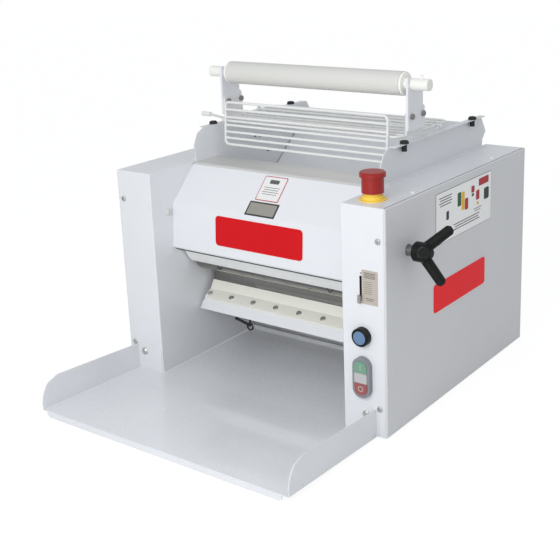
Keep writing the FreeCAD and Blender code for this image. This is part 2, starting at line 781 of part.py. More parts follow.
rack_depth = 8.0
rack_teeth = 15
rack_low_teeth = 13
rack_gap = 0.2
pitch_y = shaft_y - gauge_pitch_radius
rack_root = pitch_y - root_depth_share * gauge_module + rack_gap / 2
rack_tip = pitch_y + gauge_module - rack_gap / 2
rack_back = rack_root - rack_depth
gauge_travel = gauge_pitch_radius * handle_turn
rack_points = []
tooth_pitch = math.pi * gauge_module
half_tooth = tooth_pitch / 4
slope = math.tan(pressure_angle)
for tooth in range(-rack_low_teeth, rack_teeth - rack_low_teeth):
    middle = shaft_z + tooth_pitch * tooth + tooth_pitch / 2
    wide = half_tooth + (pitch_y - rack_root) * slope - rack_gap / 2
    narrow = half_tooth - (rack_tip - pitch_y) * slope - rack_gap / 2
    rack_points += [(rack_root, middle - wide, 0), (rack_tip, middle - narrow, 0),
                    (rack_tip, middle + narrow, 0), (rack_root, middle + wide, 0)]
rack_top = shaft_z + tooth_pitch * (rack_teeth - rack_low_teeth) + tooth_pitch
pointer_z = 235.0
pointer_foot_drop = 6.0
pointer_foot = pointer_z - pointer_foot_drop
rack_points = [(rack_back, pointer_foot, 0), (rack_root, pointer_foot, 0)] + rack_points
rack_points += [(rack_root, rack_top, 0), (rack_back, rack_top, 0)]
rack = plate_x(rack_points, gauge_low, gauge_high)
arm_half = 1.7
arm_low = 3.0
paddle_out = 7.0
paddle_thick = 3.0
paddle_width = 5.5
paddle_half = 6.5
pointer_arm = box((gauge_slot_x - arm_half, -paddle_out + paddle_thick / 2, pointer_z - arm_low),
                  (gauge_slot_x + arm_half, rack_back + paddle_thick / 2, pointer_z + arm_low))
paddle = box((gauge_slot_x - paddle_width / 2, -paddle_out, pointer_z - paddle_half),
             (gauge_slot_x + paddle_width / 2, -paddle_out + paddle_thick, pointer_z + paddle_half))
joiner = box((gauge_low, rack_back, pointer_foot),
             (gauge_slot_x + arm_half, rack_root, pointer_z + arm_low))
parts["gap_pointer"] = fused([rack, joiner, pointer_arm, paddle])

guide_clear = 7.0
guide_low = pointer_z + gauge_travel + guide_clear
guide_high = shaft_z
guide_wall = 1.8
guide_lip = 6.0
guide_foot = 12.0
guide_back = rack_back - slot_play
guide_left = gauge_low - slot_play
guide_right = gauge_high + slot_play
guide = box((guide_left - guide_wall, guide_back - guide_wall, guide_low),
            (guide_right + guide_wall, guide_back + guide_lip, guide_high))
guide = guide.cut(box((guide_left, guide_back, guide_low - overrun),
                      (guide_right, rack_tip + overrun, guide_high + overrun)))
guide_web = box((guide_left - guide_wall, sheet, guide_low), (guide_left, guide_back, guide_high))
guide_plate = box((guide_left - guide_foot, sheet, guide_low), (guide_left, sheet + guide_wall, guide_high))
parts["pointer_guide"] = fused([guide, guide_web, guide_plate])

# Tray: flat floor between the columns, wide rounded front part
tray_reach = 238.0
tray_sheet = 1.5
tray_side_gap = 1.0
tray_inset = 20.5
tray_half = half_width - tray_inset
tray_floor = body_floor
tray_rear = 262.0
tray_upstand = 13.0
tray_front_floor = 12.5
lip_low = 1.0
lip_inset = 12.0
lip_half = tray_half - lip_inset
lip_round = 9.0
tray_inner_half = column_inner - tray_side_gap
tray_path = [(tray_rear, tray_upstand), (tray_rear, tray_floor), (0, tray_floor),
             (-tray_reach, tray_front_floor)]
rear_path = tray_path[:2] + [(-tray_sheet, tray_floor)]
floor_rear = plate_x(bent_sheet(rear_path, tray_sheet, sheet_bend), -tray_inner_half, tray_inner_half)
front_run = [(0, tray_floor, 0), (-tray_reach, tray_front_floor, 0),
             (-tray_reach, tray_front_floor - tray_sheet, 0),
             (0, tray_floor - tray_sheet, 0)]
floor_front = plate_x(front_run, -tray_half + tray_sheet / 2, tray_half - tray_sheet / 2)
lip = plate_y([(-lip_half, tray_front_floor, 0), (-lip_half, lip_low, lip_round),
               (lip_half, lip_low, lip_round),
               (lip_half, tray_front_floor, 0)], -tray_reach, -tray_reach + tray_sheet)
tray_side_top = 63.0
tray_rear_share = 0.805
tray_shares = [(0.996, 0.35, 0.1), (0.983, 0.59, 0.18), (0.941, 0.865, 0.24), (0.84, 1, 0.32),
               (0.414, 0.905, 0.6), (0, tray_rear_share, 0)]
tray_side = [(-tray_reach + tray_sheet, tray_front_floor - tray_sheet / 2, 0)]
for reach_share, rise_share, round_share in tray_shares:
    tray_side.append((-tray_reach * reach_share, tray_side_top * rise_share, tray_side_top * round_share))
tray_side += [(0, tray_floor - tray_sheet, 0), (-tray_reach + tray_sheet, tray_front_floor - tray_sheet, 0)]
tray_wall = plate_x(tray_side, tray_half - tray_sheet, tray_half)
wing_half = column_inner + edge_round
wing_top = 56.0
wing_round = 8.0
wing_shoulder = 18.0
tray_wing = plate_y([(wing_half, tray_floor - tray_sheet, 0), (tray_half, tray_floor - tray_sheet, 0),
                     (tray_half, tray_side_top * tray_rear_share, 0), (tray_half - wing_shoulder,
                                                                       wing_top, wing_round),
                     (wing_half, wing_top, wing_round)], -tray_sheet, 0)
tray = fused([floor_rear, floor_front, lip] + both_sides(tray_wall) + both_sides(tray_wing))
tray_bolt_inset = 38.5
tray_bolt_x = half_width - tray_bolt_inset
tray_bolt_z = 39.0
tray_bolt_radius = 3.0
tray_bolt_head = 6.5
tray_bolt_height = 3.5
tray_bolt_length = 12.0
tray_nut = 5.5
tray_nut_thick = 5.0
bolts = []
for side in (-1, 1):
    x = side * tray_bolt_x
    hole = rod_y(x, tray_bolt_z, tray_bolt_radius + fit_gap, -tray_reach / 2, tray_bolt_length)
    tray = tray.cut(hole)
    for name in ("left_housing", "right_housing"):
        parts[name] = parts[name].cut(hole)
    bolt_profile = [(-tray_sheet - tray_bolt_height, 0, 0),
                    (-tray_sheet - tray_bolt_height, tray_bolt_head, edge_round),
                    (-tray_sheet, tray_bolt_head, 0), (-tray_sheet, tray_bolt_radius, 0),
                    (sheet, tray_bolt_radius, 0), (sheet, tray_nut, 0), (sheet + tray_nut_thick,
                                                                         tray_nut, 0),
                    (sheet + tray_nut_thick, tray_bolt_radius, 0), (tray_bolt_length, tray_bolt_radius, 0),
                    (tray_bolt_length, 0, 0)]
    bolts.append(turned_y(bolt_profile, x, tray_bolt_z))
parts["tray"] = tray
parts["tray_bolts"] = group(bolts)

# Hood over the front of the rollers
hood_thick = 1.5
hood_top_y = 117.0
hood_top_z = 381.0
hood_brow_y = 55.0
hood_brow_z = 319.0
hood_foot_y = 49.0
hood_foot_z = 236.0
hood_lip = 15.0
hood_flange = 12.0
hood_side_inset = 5.0
hood_side_end = 17.0
hood_path = [(hood_top_y, hood_top_z), (hood_brow_y, hood_brow_z), (hood_foot_y, hood_foot_z),
             (hood_foot_y + hood_lip, hood_foot_z)]
hood_half = column_inner - seat_gap
hood_shell = plate_x(bent_sheet(hood_path, hood_thick, sheet_bend), -hood_half, hood_half)
hood_side = [(hood_top_y, hood_top_z, 0), (hood_brow_y, hood_brow_z, edge_round),
             (hood_foot_y, hood_foot_z, edge_round),
             (hood_foot_y + hood_flange, hood_foot_z, 0), (hood_foot_y + hood_flange,
                                                           hood_foot_z + hood_side_inset, 0),
             (hood_brow_y + hood_flange, hood_brow_z - hood_side_inset, 0), (hood_top_y,
                                                                             hood_top_z - hood_side_end, 0)]
hood_end = plate_x(hood_side, hood_half - hood_thick, hood_half)
hood_end = hood_end.cut(rod_x(shaft_y, shaft_z, shaft_bush_radius, 0, half_width))
parts["hood"] = fused([hood_shell] + both_sides(hood_end))

# Hopper: two cheeks, the ramp, and the feed strip in front of the mouth
cheek_gap = 1.9
cheek_inner = column_inner - cheek_gap
cheek_outer = cheek_inner + sheet
hopper_rise = 59.0
hopper_drop = 181.0
hopper_top = body_top + hopper_rise
cheek_front = 121.0
cheek_length = body_depth - cheek_front
flange_width = 12.0
flange_reach = cheek_inner + flange_width
# Shares of the length and of the rise above, or of the drop below, the top of the housings
rise_shares = [(0.008, 0.02, 0), (0, 0.508, 0.13), (0.029, 0.864, 0.13), (0.076, 1, 0.1), (0.942, 1, 0.07),
               (1, 0.43, 0.07), (0.966, 0.2, 0.07), (0.96, 0, 0.02)]
drop_shares = [(0.811, 0.006, 0.07), (0.239, 0.989, 0.1), (0.197, 1, 0.1), (0.102, 0.69, 0.1),
               (0.018, 0.47, 0.1)]
cheek_outline = []
for run_share, rise_share, round_share in rise_shares:
    cheek_outline.append((cheek_front + cheek_length * run_share, body_top + hopper_rise * rise_share,
                          hopper_rise * round_share))
for run_share, drop_share, round_share in drop_shares:
    cheek_outline.append((cheek_front + cheek_length * run_share, body_top - hopper_drop * drop_share,
                          hopper_rise * round_share))
top_start_share = 0.082
top_end_share = 0.935
foot_start_share = 0.019
foot_end_share = 0.95
ear_y = 319.6
guard_z = 452.0
ear_radius = 6.0
guard_wire = 2.5
cheek = plate_x(cheek_outline, cheek_inner, cheek_outer)
ear = plate_x([(ear_y - ear_radius, hopper_top - sheet, 0), (ear_y + ear_radius, hopper_top - sheet, 0),
               (ear_y + ear_radius, guard_z + ear_radius, ear_radius - fit_gap),
               (ear_y - ear_radius, guard_z + ear_radius, ear_radius - fit_gap)], cheek_inner, cheek_outer)
top_flange = box((cheek_inner, cheek_front + cheek_length * top_start_share, hopper_top - sheet),
                 (flange_reach, cheek_front + cheek_length * top_end_share, hopper_top))
foot_flange = box((cheek_inner, cheek_front + cheek_length * foot_start_share, body_top),
                  (flange_reach, cheek_front + cheek_length * foot_end_share, body_top + sheet))
bumper_inset = 4.5
bumper_x = flange_reach - bumper_inset
bumper_stem = 3.0
bumper_cap = 7.7
bumper_cap_high = 5.2
bumper_drop = 13.0
bumper_barb = 4.5
bumper_places = [187.0, 434.0]
cheek = fused([cheek, ear, top_flange, foot_flange])
cheek = cheek.cut(rod_x(ear_y, guard_z, guard_wire + slot_play, 0, half_width))
cheek = cheek.cut(rod_x(tie_high_y, tie_high_z, tie_radius + seat_gap, 0, half_width))
bumpers = []
for y in bumper_places:
    cheek = cheek.cut(rod_z(bumper_x, y, bumper_stem + fit_gap, hopper_top - overrun, hopper_top + overrun))
    bumper_profile = [(0, hopper_top - bumper_drop, 0), (bumper_barb, hopper_top - bumper_drop, 0),
                      (bumper_barb, hopper_top - sheet - slot_play, 0), (bumper_stem,
                                                                         hopper_top - sheet - slot_play, 0),
                      (bumper_stem, hopper_top, 0), (bumper_cap, hopper_top, 0),
                      (bumper_cap, hopper_top + bumper_cap_high, edge_round), (0,
                                                                               hopper_top + bumper_cap_high, 0)]
    bumpers += both_sides(turned_z(bumper_profile, bumper_x, y))
parts["bumpers"] = group(bumpers)
parts["right_hopper_wall"] = cheek
parts["left_hopper_wall"] = mirrored(cheek)
ramp_half = cheek_inner - fit_gap
ramp_top_inset = 10.0
ramp_top_y = body_depth - ramp_top_inset
ramp_top_z = 427.0
ramp_lip_y = 7.0
ramp_lip_z = 11.0
ramp_low_y = 197.0
ramp_low_z = 198.5
ramp_path = [(ramp_top_y + ramp_lip_y, ramp_top_z - ramp_lip_z), (ramp_top_y, ramp_top_z),
             (ramp_low_y, ramp_low_z)]
parts["hopper_ramp"] = plate_x(bent_sheet(ramp_path, sheet, sheet_bend), -ramp_half, ramp_half)
strip_front = 120.0
strip_rear = 190.0
strip_foot_y = 166.0
strip_foot_z = 264.0
strip_path = [(strip_foot_y, strip_foot_z), (strip_rear, body_top - sheet), (strip_front, body_top - sheet)]
parts["feed_strip"] = plate_x(bent_sheet(strip_path, sheet, sheet_bend), -ramp_half, ramp_half)

# Back panel with vent slots, and the splash wall in front of the motor
panel_inset = 18.0
panel_y = body_depth - panel_inset
panel_drop = 15.0
panel_top = ramp_top_z - panel_drop
panel_low_narrow = column_inner - seat_gap
panel_step = body_top - sheet_bend
vent_rows = 7
vent_columns = 2
vent_half = 42.0
vent_height = 5.0
vent_pitch = 14.0
vent_z = 150.0
vent_centre = 90.0
gland_inset_x = 38.4
gland_x = column_inner - gland_inset_x
gland_z = 60.0
gland_radius = 8.0
panel_points = [(-panel_low_narrow, base_top, 0), (panel_low_narrow, base_top, 0),
                (panel_low_narrow, panel_step, 0),
                (ramp_half, panel_step, 0), (ramp_half, panel_top, 0), (-ramp_half, panel_top, 0),
                (-ramp_half, panel_step, 0), (-panel_low_narrow, panel_step, 0)]
panel = plate_y(panel_points, panel_y, panel_y + sheet)
for row in range(vent_rows):
    for column in range(vent_columns):
        x = (2 * column - 1) * vent_centre
        z = vent_z + row * vent_pitch
        slot = rectangle(x - vent_half, z, x + vent_half, z + vent_height)
        panel = panel.cut(plate_y(slot, panel_y - overrun, panel_y + overrun))
panel = panel.cut(rod_y(gland_x, gland_z, gland_radius + fit_gap, panel_y - overrun, panel_y + overrun))
parts["back_panel"] = panel
gland_hex = 12.0
gland_hex_thick = 5.0
gland_inset = 3.0
gland_tail = 10.0
gland_out = body_depth - gland_inset
gland_in = panel_y - gland_tail
gland_bore = 4.0
gland_profile = [(gland_in, gland_bore, 0), (gland_in, gland_radius, 0),
                 (panel_y - gland_hex_thick, gland_radius, 0),
                 (panel_y - gland_hex_thick, gland_hex, 0), (panel_y, gland_hex, 0), (panel_y,
                                                                                      gland_radius, 0),
                 (panel_y + sheet, gland_radius, 0), (panel_y + sheet, gland_hex, 0),
                 (panel_y + sheet + gland_hex_thick, gland_hex, 0), (gland_out, gland_radius, edge_round),
                 (gland_out, gland_bore, 0)]
parts["cable_gland"] = turned_y(gland_profile, gland_x, gland_z)
splash_y = 276.0
splash_top = 254.0
parts["splash_wall"] = box((-panel_low_narrow, splash_y, base_top),
                           (panel_low_narrow, splash_y + sheet, splash_top))

# Scrapers under the hood
strip_thick = 2.0
strip_end_gap = 3.4
strip_half = column_inner - strip_end_gap
blade_foot_y = 92.5
blade_foot_z = 202.0
blade_knee_y = 86.0
blade_knee_z = 210.5
blade_brow_y = 70.0
blade_flange = 16.0
blade_top = hood_foot_z - seat_gap
blade = bent_sheet([(blade_foot_y, blade_foot_z), (blade_knee_y, blade_knee_z), (blade_brow_y, blade_top),
                    (blade_brow_y - blade_flange, blade_top)], strip_thick, sheet_bend)
parts["scraper_strip"] = plate_x(blade, -strip_half, strip_half)

# Two wire hooks hold the lower edge of the blade
hook_inset = 77.0
hook_x = strip_half - hook_inset
hook_shift = 6.5
hook_half = 7.0
hook_drop = 7.5
hook_wire = 0.8
blade_run = V(blade_knee_y - blade_foot_y, blade_knee_z - blade_foot_z, 0).normalize()
hook_y = blade_foot_y - blade_run.y * strip_thick / 2
hook_z = blade_foot_z + blade_run.x * strip_thick / 2 - hook_wire
hooks = []
for side in (-1, 1):
    middle = side * hook_x - hook_shift
    hook_points = [V(middle - hook_half, hook_y, hook_z),
                   V(middle, hook_y, hook_z - hook_drop),
                   V(middle + hook_half, hook_y, hook_z)]
    hooks.append(tube(hook_points, hook_wire, 0))
parts["scraper_springs"] = group(hooks)

# Ivory board close to the rear roller, on its folded bed with a pivot pin at each end
board_end_gap = 9.4
board_half = column_inner - board_end_gap
board_thick = 6.0
board_front_y = 116.0
board_front_z = 121.0
board_knee_y = 134.8
board_knee_z = 132.0
board_tip_y = 145.0
board_tip_z = 147.7
board_run = V(board_knee_y - board_front_y, board_knee_z - board_front_z, 0).normalize()
board_down = V(board_run.y, -board_run.x, 0)
board_front = V(board_front_y, board_front_z, 0)
board_knee = V(board_knee_y, board_knee_z, 0)
under_front = board_front + board_down * board_thick
under_rear = board_knee + board_down * board_thick
board = [(board_tip_y, board_tip_z, 0), (board_knee_y, board_knee_z, 0), (board_front_y, board_front_z, 0),
         (under_front.x, under_front.y, 0), (under_rear.x, under_rear.y, 0)]
parts["scraper_board"] = plate_x(board, -board_half, board_half)
bed_thick = 2.0
bed_end_gap = 6.4
bed_half = column_inner - bed_end_gap
bed_reach = 4.0
bed_nose_y = 9.5
bed_nose_z = 13.8
bed_end_thick = 3.0
bed_heel = 11.5
bed_back_y = 7.6
bed_back_z = 11.0
bed_pin_radius = 3.5
bed_down = board_thick + fit_gap
bed_rear = board_knee + board_down * bed_down
bed_front = board_front + board_down * bed_down - board_run * bed_reach
bed_foot = bed_front - V(bed_nose_y, bed_nose_z, 0)
bed_path = [(bed_rear.x, bed_rear.y), (bed_front.x, bed_front.y), (bed_foot.x, bed_foot.y)]
bed = plate_x(bent_sheet(bed_path, bed_thick, sheet_bend), -bed_half + bed_end_thick,
              bed_half - bed_end_thick)
bed_end = plate_x([(bed_rear.x, bed_rear.y, 0), (bed_front.x, bed_front.y, 0), (bed_foot.x, bed_foot.y, 0),
                   (bed_foot.x + bed_heel, bed_foot.y - bed_thick, 0), (bed_rear.x + bed_back_y,
                                                                        bed_rear.y - bed_back_z, 0)],
                  bed_half - bed_end_thick, bed_half)
bed_pin = rod_x(bed_front.x + bed_back_y, bed_front.y - bed_back_z, bed_pin_radius, bed_half - fit_gap,
                column_inner - fit_gap)
parts["scraper_bed"] = fused([bed] + both_sides(bed_end) + both_sides(bed_pin))

# Emergency stop on the top of the right housing
estop_collar = 14.2
estop_shoulder = 16.4
estop_shoulder_high = 7.2
estop_collar_high = 11.5
estop_ring = 22.5
estop_ring_high = 1.2
estop_thread = 11.0
estop_nut = 15.0
estop_nut_high = 4.0
estop_block_half = 14.0
estop_block_low = 351.0
estop_bore = 5.3
estop_press = 4.0
estop_low = body_top - sheet - estop_nut_high
collar_profile = [(estop_bore, estop_low, 0), (estop_nut, estop_low, 0), (estop_nut, body_top - sheet, 0),
                  (estop_thread, body_top - sheet, 0), (estop_thread, body_top, 0), (estop_ring,
                                                                                     body_top, 0),
                  (estop_ring, body_top + estop_ring_high, 0), (estop_shoulder,
                                                                body_top + estop_ring_high, 0),
                  (estop_shoulder, body_top + estop_shoulder_high, 0), (estop_collar,
                                                                        body_top + estop_shoulder_high, 0),
                  (estop_collar, body_top + estop_collar_high, 0), (estop_bore,
                                                                    body_top + estop_collar_high, 0)]
estop_block = box((control_x - estop_block_half, estop_y - estop_block_half, estop_block_low),
                  (control_x + estop_block_half, estop_y + estop_block_half, estop_low))
estop_block = estop_block.cut(rod_z(control_x, estop_y, estop_bore,
                                    estop_low - 2 * estop_press - overrun, estop_low + overrun))
parts["estop_base"] = turned_z(collar_profile, control_x, estop_y).fuse(estop_block)
estop_skirt = 17.8
estop_skirt_inner = 15.0
estop_head = 21.0
estop_rim_low = 422.0
estop_rim_high = 430.0
estop_skirt_low = body_top + estop_collar_high
estop_roof = estop_skirt_low + estop_press + hole_margin
estop_rod = 5.0
head_profile = [(0, estop_low - estop_press, 0), (estop_rod, estop_low - estop_press, 0),
                (estop_rod, estop_roof, 0),
                (estop_skirt_inner, estop_roof, 0), (estop_skirt_inner, estop_skirt_low, 0),
                (estop_skirt, estop_skirt_low, 0), (estop_skirt, estop_rim_low, 0), (estop_head,
                                                                                     estop_rim_low, 0),
                (estop_head, estop_rim_high, edge_round), (0, estop_rim_high, 0)]
parts["estop_head"] = turned_z(head_profile, control_x, estop_y)

# Push buttons on the right column
blue_bezel = 15.4
blue_out = 12.0
blue_cap = 11.2
cap_bevel = 0.5
cap_proud = 0.2
blue_depth = 30.0
blue_press = 4.0
blue_cavity = 8.0
blue_body = 12.5
bezel_profile = [(-blue_out, blue_cap + slot_play, 0), (-blue_out, blue_bezel, edge_round),
                 (0, blue_bezel, 0),
                 (0, blue_body, 0), (blue_depth, blue_body, 0), (blue_depth, 0, 0), (blue_cavity, 0, 0),
                 (blue_cavity, blue_cap + slot_play, 0)]
parts["blue_button_bezel"] = turned_y(bezel_profile, button_x, blue_z)
cap_profile = [(-blue_out - cap_proud, 0, 0), (-blue_out - cap_proud, blue_cap, cap_bevel),
               (blue_cavity - blue_press - slot_play, blue_cap,
                0), (blue_cavity - blue_press - slot_play, 0, 0)]
parts["blue_button"] = turned_y(cap_profile, button_x, blue_z)
double_half_x = 16.0
double_half_z = 34.5
double_out = 9.0
double_round = 15.5
double_depth = 38.0
key_half = 11.8
key_low = 8.8
key_high = 29.0
key_out = 10.5
key_press = 3.0
key_cavity = 6.0
key_tip_round = 11.0
key_round = 1.5
bezel_face = rectangle(button_x - double_half_x, double_z - double_half_z,
                       button_x + double_half_x, double_z + double_half_z, double_round)
double_body = rectangle(button_x - double_hole_x + fit_gap, double_z - double_hole_z + fit_gap,
                        button_x + double_hole_x - fit_gap, double_z + double_hole_z - fit_gap, edge_round)
double = plate_y(bezel_face, -double_out,
                 0).fuse(plate_y(double_body, -fit_gap, double_depth)).removeSplitter()


def key_outline(side, play):
    """Key with a half-round outer end, above or below the middle of the bezel."""
    near = double_z + side * (key_low - play)
    far = double_z + side * (key_high + play)
    reach = key_half + play
    return [(button_x - reach, near, key_round), (button_x + reach, near, key_round),
            (button_x + reach, far, key_tip_round), (button_x - reach, far, key_tip_round)]


key_rear = -double_out + key_cavity + hole_margin
for side, name in ((1, "start_button"), (-1, "stop_button")):
    double = double.cut(plate_y(key_outline(side, slot_play), -double_out - overrun, key_rear))
    parts[name] = plate_y(key_outline(side, 0), -key_out, key_rear - key_press - slot_play)
parts["double_button_bezel"] = double

# Contactor on the base and interlock sensor under the top of the left housing
contactor_gap = 11.6
contactor_wide = 36.0
contactor_inset = 62.0
contactor_long = 55.0
contactor_tall = 80.0
contactor_x = plate_outer + contactor_gap
contactor_rear = body_depth - contactor_inset
contactor_low = (contactor_x, contactor_rear - contactor_long, base_top)
contactor_high = (contactor_x + contactor_wide, contactor_rear, base_top + contactor_tall)
contactor_step = 14.0
contactor_step_high = 12.0
contactor = box(contactor_low, contactor_high)
for step_y in (contactor_low[1] - overrun, contactor_high[1] - contactor_step):
    contactor = contactor.cut(box((contactor_low[0] - overrun, step_y,
                                   contactor_high[2] - contactor_step_high),
                                  (contactor_high[0] + overrun, step_y + contactor_step + overrun,
                                   contactor_high[2] + overrun)))
parts["contactor"] = contactor
sensor_half = 10.0
magnet_y = 182.0
magnet_z = 463.0
magnet_length = 20.0
magnet_gap = 6.6
magnet_near = column_inner + magnet_gap
magnet_far = magnet_near + magnet_length
magnet_radius = 4.3
magnet_x = (magnet_far + magnet_near) / 2
sensor_high = 16.0
parts["interlock_sensor"] = box((-magnet_x - sensor_half, magnet_y - sensor_half,
                                 body_top - sheet - sensor_high),
                                (-magnet_x + sensor_half, magnet_y + sensor_half, body_top - sheet))

# Wire guard over the hopper, pivoting in the ears of the hopper walls
rail_inset = 6.4
rail_x = column_inner - rail_inset
rail_front = 190.4
rail_rear = 364.0
rail_bend = 18.0
curtain_inset = 26.4
curtain_half = column_inner - curtain_inset
curtain_top_y = 188.0
curtain_low_y = 183.0
curtain_low = 409.0
curtain_high = 487.6
curtain_wire = 2.3
curtain_bend = 9.0
curtain_shares = [0.153, 0.299, 0.458, 0.649, 0.827]
deck_shares = [0.13, 0.263, 0.378, 0.508, 0.58, 0.885]
pivot_out = 3.6
pivot_end = column_inner + pivot_out
loop_points = [V(0, rail_front, guard_z), V(rail_x, rail_front, guard_z), V(rail_x, rail_rear, guard_z),
               V(-rail_x, rail_rear, guard_z), V(-rail_x, rail_front, guard_z), V(0, rail_front, guard_z)]
guard_pieces = [tube(loop_points, guard_wire, rail_bend)]
curtain_points = [V(0, curtain_low_y, curtain_low), V(curtain_half, curtain_low_y, curtain_low),
                  V(curtain_half, curtain_top_y, curtain_high), V(-curtain_half, curtain_top_y,
                                                                  curtain_high),
                  V(-curtain_half, curtain_low_y, curtain_low), V(0, curtain_low_y, curtain_low)]
guard_pieces.append(tube(curtain_points, guard_wire, curtain_bend))
for share in curtain_shares:
    y = curtain_low_y + (curtain_top_y - curtain_low_y) * share
    z = curtain_low + (curtain_high - curtain_low) * share
    guard_pieces.append(rod_x(y, z, curtain_wire, -curtain_half, curtain_half))
for share in deck_shares:
    y = rail_front + (rail_rear - rail_front) * share
    guard_pieces.append(rod_x(y, guard_z, curtain_wire, -rail_x, rail_x))
guard_pieces.append(rod_x(ear_y, guard_z, guard_wire - fit_gap, -pivot_end, pivot_end))
tab_thick = 3.0
tab_front = 210.0
tab_rear = 263.0
tab_top = 492.0
tab_round = 8.0
tab_low = rail_x + fit_gap
tab = plate_x([(tab_front, guard_z - guard_wire, 0), (tab_rear, guard_z - guard_wire, 0),
               (tab_rear, tab_top, tab_round), (tab_front, tab_top, tab_round)],
              tab_low, tab_low + tab_thick)
magnet_arm = Part.makeCylinder(curtain_wire, (V(magnet_near - rail_x, magnet_y - rail_front - rail_bend,
                                                magnet_z - guard_z)).Length,
                               V(-rail_x, rail_front + rail_bend, guard_z),
                               V(rail_x - magnet_near, magnet_y - rail_front - rail_bend,
                                 magnet_z - guard_z))
bracket_thick = 4.0
bracket_low = tab_low + tab_thick
bracket_high = bracket_low + bracket_thick
bracket_bolt_z = 483.5
bracket_bolt_front = 220.0
bracket_bolt_rear = 257.5
bolt_radius = 2.5
bolt_head = 5.2
bolt_head_high = 4.0
guard_tabs = tab
bolt_shapes = []
for y in (bracket_bolt_front, bracket_bolt_rear):
    guard_tabs = guard_tabs.cut(rod_x(y, bracket_bolt_z, bolt_radius + fit_gap, 0, half_width))
    bolt_shapes.append(fused([hexagon(y, bracket_bolt_z, bolt_head, tab_low - bolt_head_high, tab_low),
                              rod_x(y, bracket_bolt_z, bolt_radius, tab_low - fit_gap,
                                    bracket_high + fit_gap),
                              hexagon(y, bracket_bolt_z, bolt_head, bracket_high,
                                      bracket_high + bolt_head_high)]))
guard_pieces += both_sides(guard_tabs) + [magnet_arm]
magnet = rod_x(magnet_y, magnet_z, magnet_radius, -magnet_far, -magnet_near)
guard = guard_pieces[0].fuse(guard_pieces[1:])
parts["wire_guard"] = guard.cut(magnet)
parts["bracket_bolts"] = group(bolt_shapes + [mirrored(shape) for shape in bolt_shapes])
parts["guard_magnet"] = magnet

# Removable roller lying in two open brackets on the guard
sleeve_y = 224.0
sleeve_z = 538.0
sleeve_radius = 20.7
sleeve_end_gap = 16.4
sleeve_half = column_inner - sleeve_end_gap
sleeve_wall = 3.0
plug_length = 12.0
nylon_shaft_radius = 10.0
nylon_shaft_out = 50.0
nylon_shaft_half = sleeve_half + nylon_shaft_out
bracket_front = 208.5
bracket_rear = 258.5
bracket_foot_rear = 264.5
bracket_foot = 459.0
bracket_shelf = 496.0
bracket_shelf_rise = 4.0
bracket_top = 550.0
bracket_rear_top = 541.0
bracket_round = 3.0
notch_play = 0.25
notch_half = nylon_shaft_radius + notch_play
bracket_outline = [(bracket_front, bracket_foot, bracket_round), (bracket_foot_rear, bracket_foot, bracket_round),
                   (bracket_foot_rear, bracket_shelf, bracket_round),
                   (bracket_rear, bracket_shelf + bracket_shelf_rise, bracket_round),
                   (bracket_rear, bracket_rear_top, bracket_round), (sleeve_y, bracket_rear_top, 0),
                   (sleeve_y, bracket_top, 0), (bracket_front, bracket_top, bracket_round)]
bracket = plate_x(bracket_outline, bracket_low, bracket_high)
bracket = bracket.cut(box((0, sleeve_y - notch_half, sleeve_z),
                          (half_width, sleeve_y + notch_half, bracket_top + overrun)))
bracket = bracket.cut(rod_x(sleeve_y, sleeve_z, notch_half, 0, half_width))
for y in (bracket_bolt_front, bracket_bolt_rear):
    bracket = bracket.cut(rod_x(y, bracket_bolt_z, bolt_radius + fit_gap, 0, half_width))
parts["roller_brackets"] = group(both_sides(bracket))
pin_inset = 15.0
pin_x = nylon_shaft_half - pin_inset
keeper_radius = 2.0
keeper_high = 6.5
nylon = rod_x(sleeve_y, sleeve_z, nylon_shaft_radius, -nylon_shaft_half, nylon_shaft_half)
keeper = rod_z(pin_x, sleeve_y, keeper_radius, sleeve_z, sleeve_z + nylon_shaft_radius + keeper_high)
parts["nylon_shaft"] = fused([nylon, keeper])
sleeve = rod_x(sleeve_y, sleeve_z, sleeve_radius, -sleeve_half, sleeve_half)
parts["nylon_sleeve"] = sleeve.cut(rod_x(sleeve_y, sleeve_z, sleeve_radius - sleeve_wall, -half_width,
                                         half_width))
plug = rod_x(sleeve_y, sleeve_z, sleeve_radius - sleeve_wall - running_gap, sleeve_half - plug_length,
             sleeve_half)
plug = plug.cut(rod_x(sleeve_y, sleeve_z, nylon_shaft_radius + slot_play, 0, half_width))
parts["sleeve_plugs"] = group(both_sides(plug))

# Origin in the middle of the footprint, on the table
middle_x = (handle_reach - half_width) / 2
middle_y = (body_depth - tray_reach) / 2
os.makedirs("parts", exist_ok=True)
for name, shape in parts.items():
    shape.translate(V(-middle_x, -middle_y, 0))
    shape.exportStep("parts/" + name + ".step")
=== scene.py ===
import bpy, math
from mathutils import Vector, Matrix


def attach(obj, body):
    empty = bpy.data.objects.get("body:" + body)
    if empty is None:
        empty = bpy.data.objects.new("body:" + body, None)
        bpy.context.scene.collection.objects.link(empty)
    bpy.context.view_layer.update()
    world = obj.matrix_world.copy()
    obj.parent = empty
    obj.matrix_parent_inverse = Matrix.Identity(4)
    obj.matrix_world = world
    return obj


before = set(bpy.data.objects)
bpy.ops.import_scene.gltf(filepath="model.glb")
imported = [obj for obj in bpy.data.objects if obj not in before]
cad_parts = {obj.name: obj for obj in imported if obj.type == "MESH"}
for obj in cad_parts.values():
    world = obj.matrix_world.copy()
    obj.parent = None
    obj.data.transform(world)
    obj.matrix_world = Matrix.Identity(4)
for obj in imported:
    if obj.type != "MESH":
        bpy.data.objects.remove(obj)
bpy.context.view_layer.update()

# Housings, left side cover, hood and hopper walls: folded steel sheet, powder coated a cool white.
# The coat is glossy, with the fine orange peel, the faint cloudiness and the uneven gloss of baked powder.
# Its noise mostly keeps between noise_low and noise_high, and cloud_scale is the size of the cloudy patches.
noise_low = 0.3
noise_high = 0.7
fine_detail = 3.0
cloud_scale = 9.0
cloud_detail = 4.0
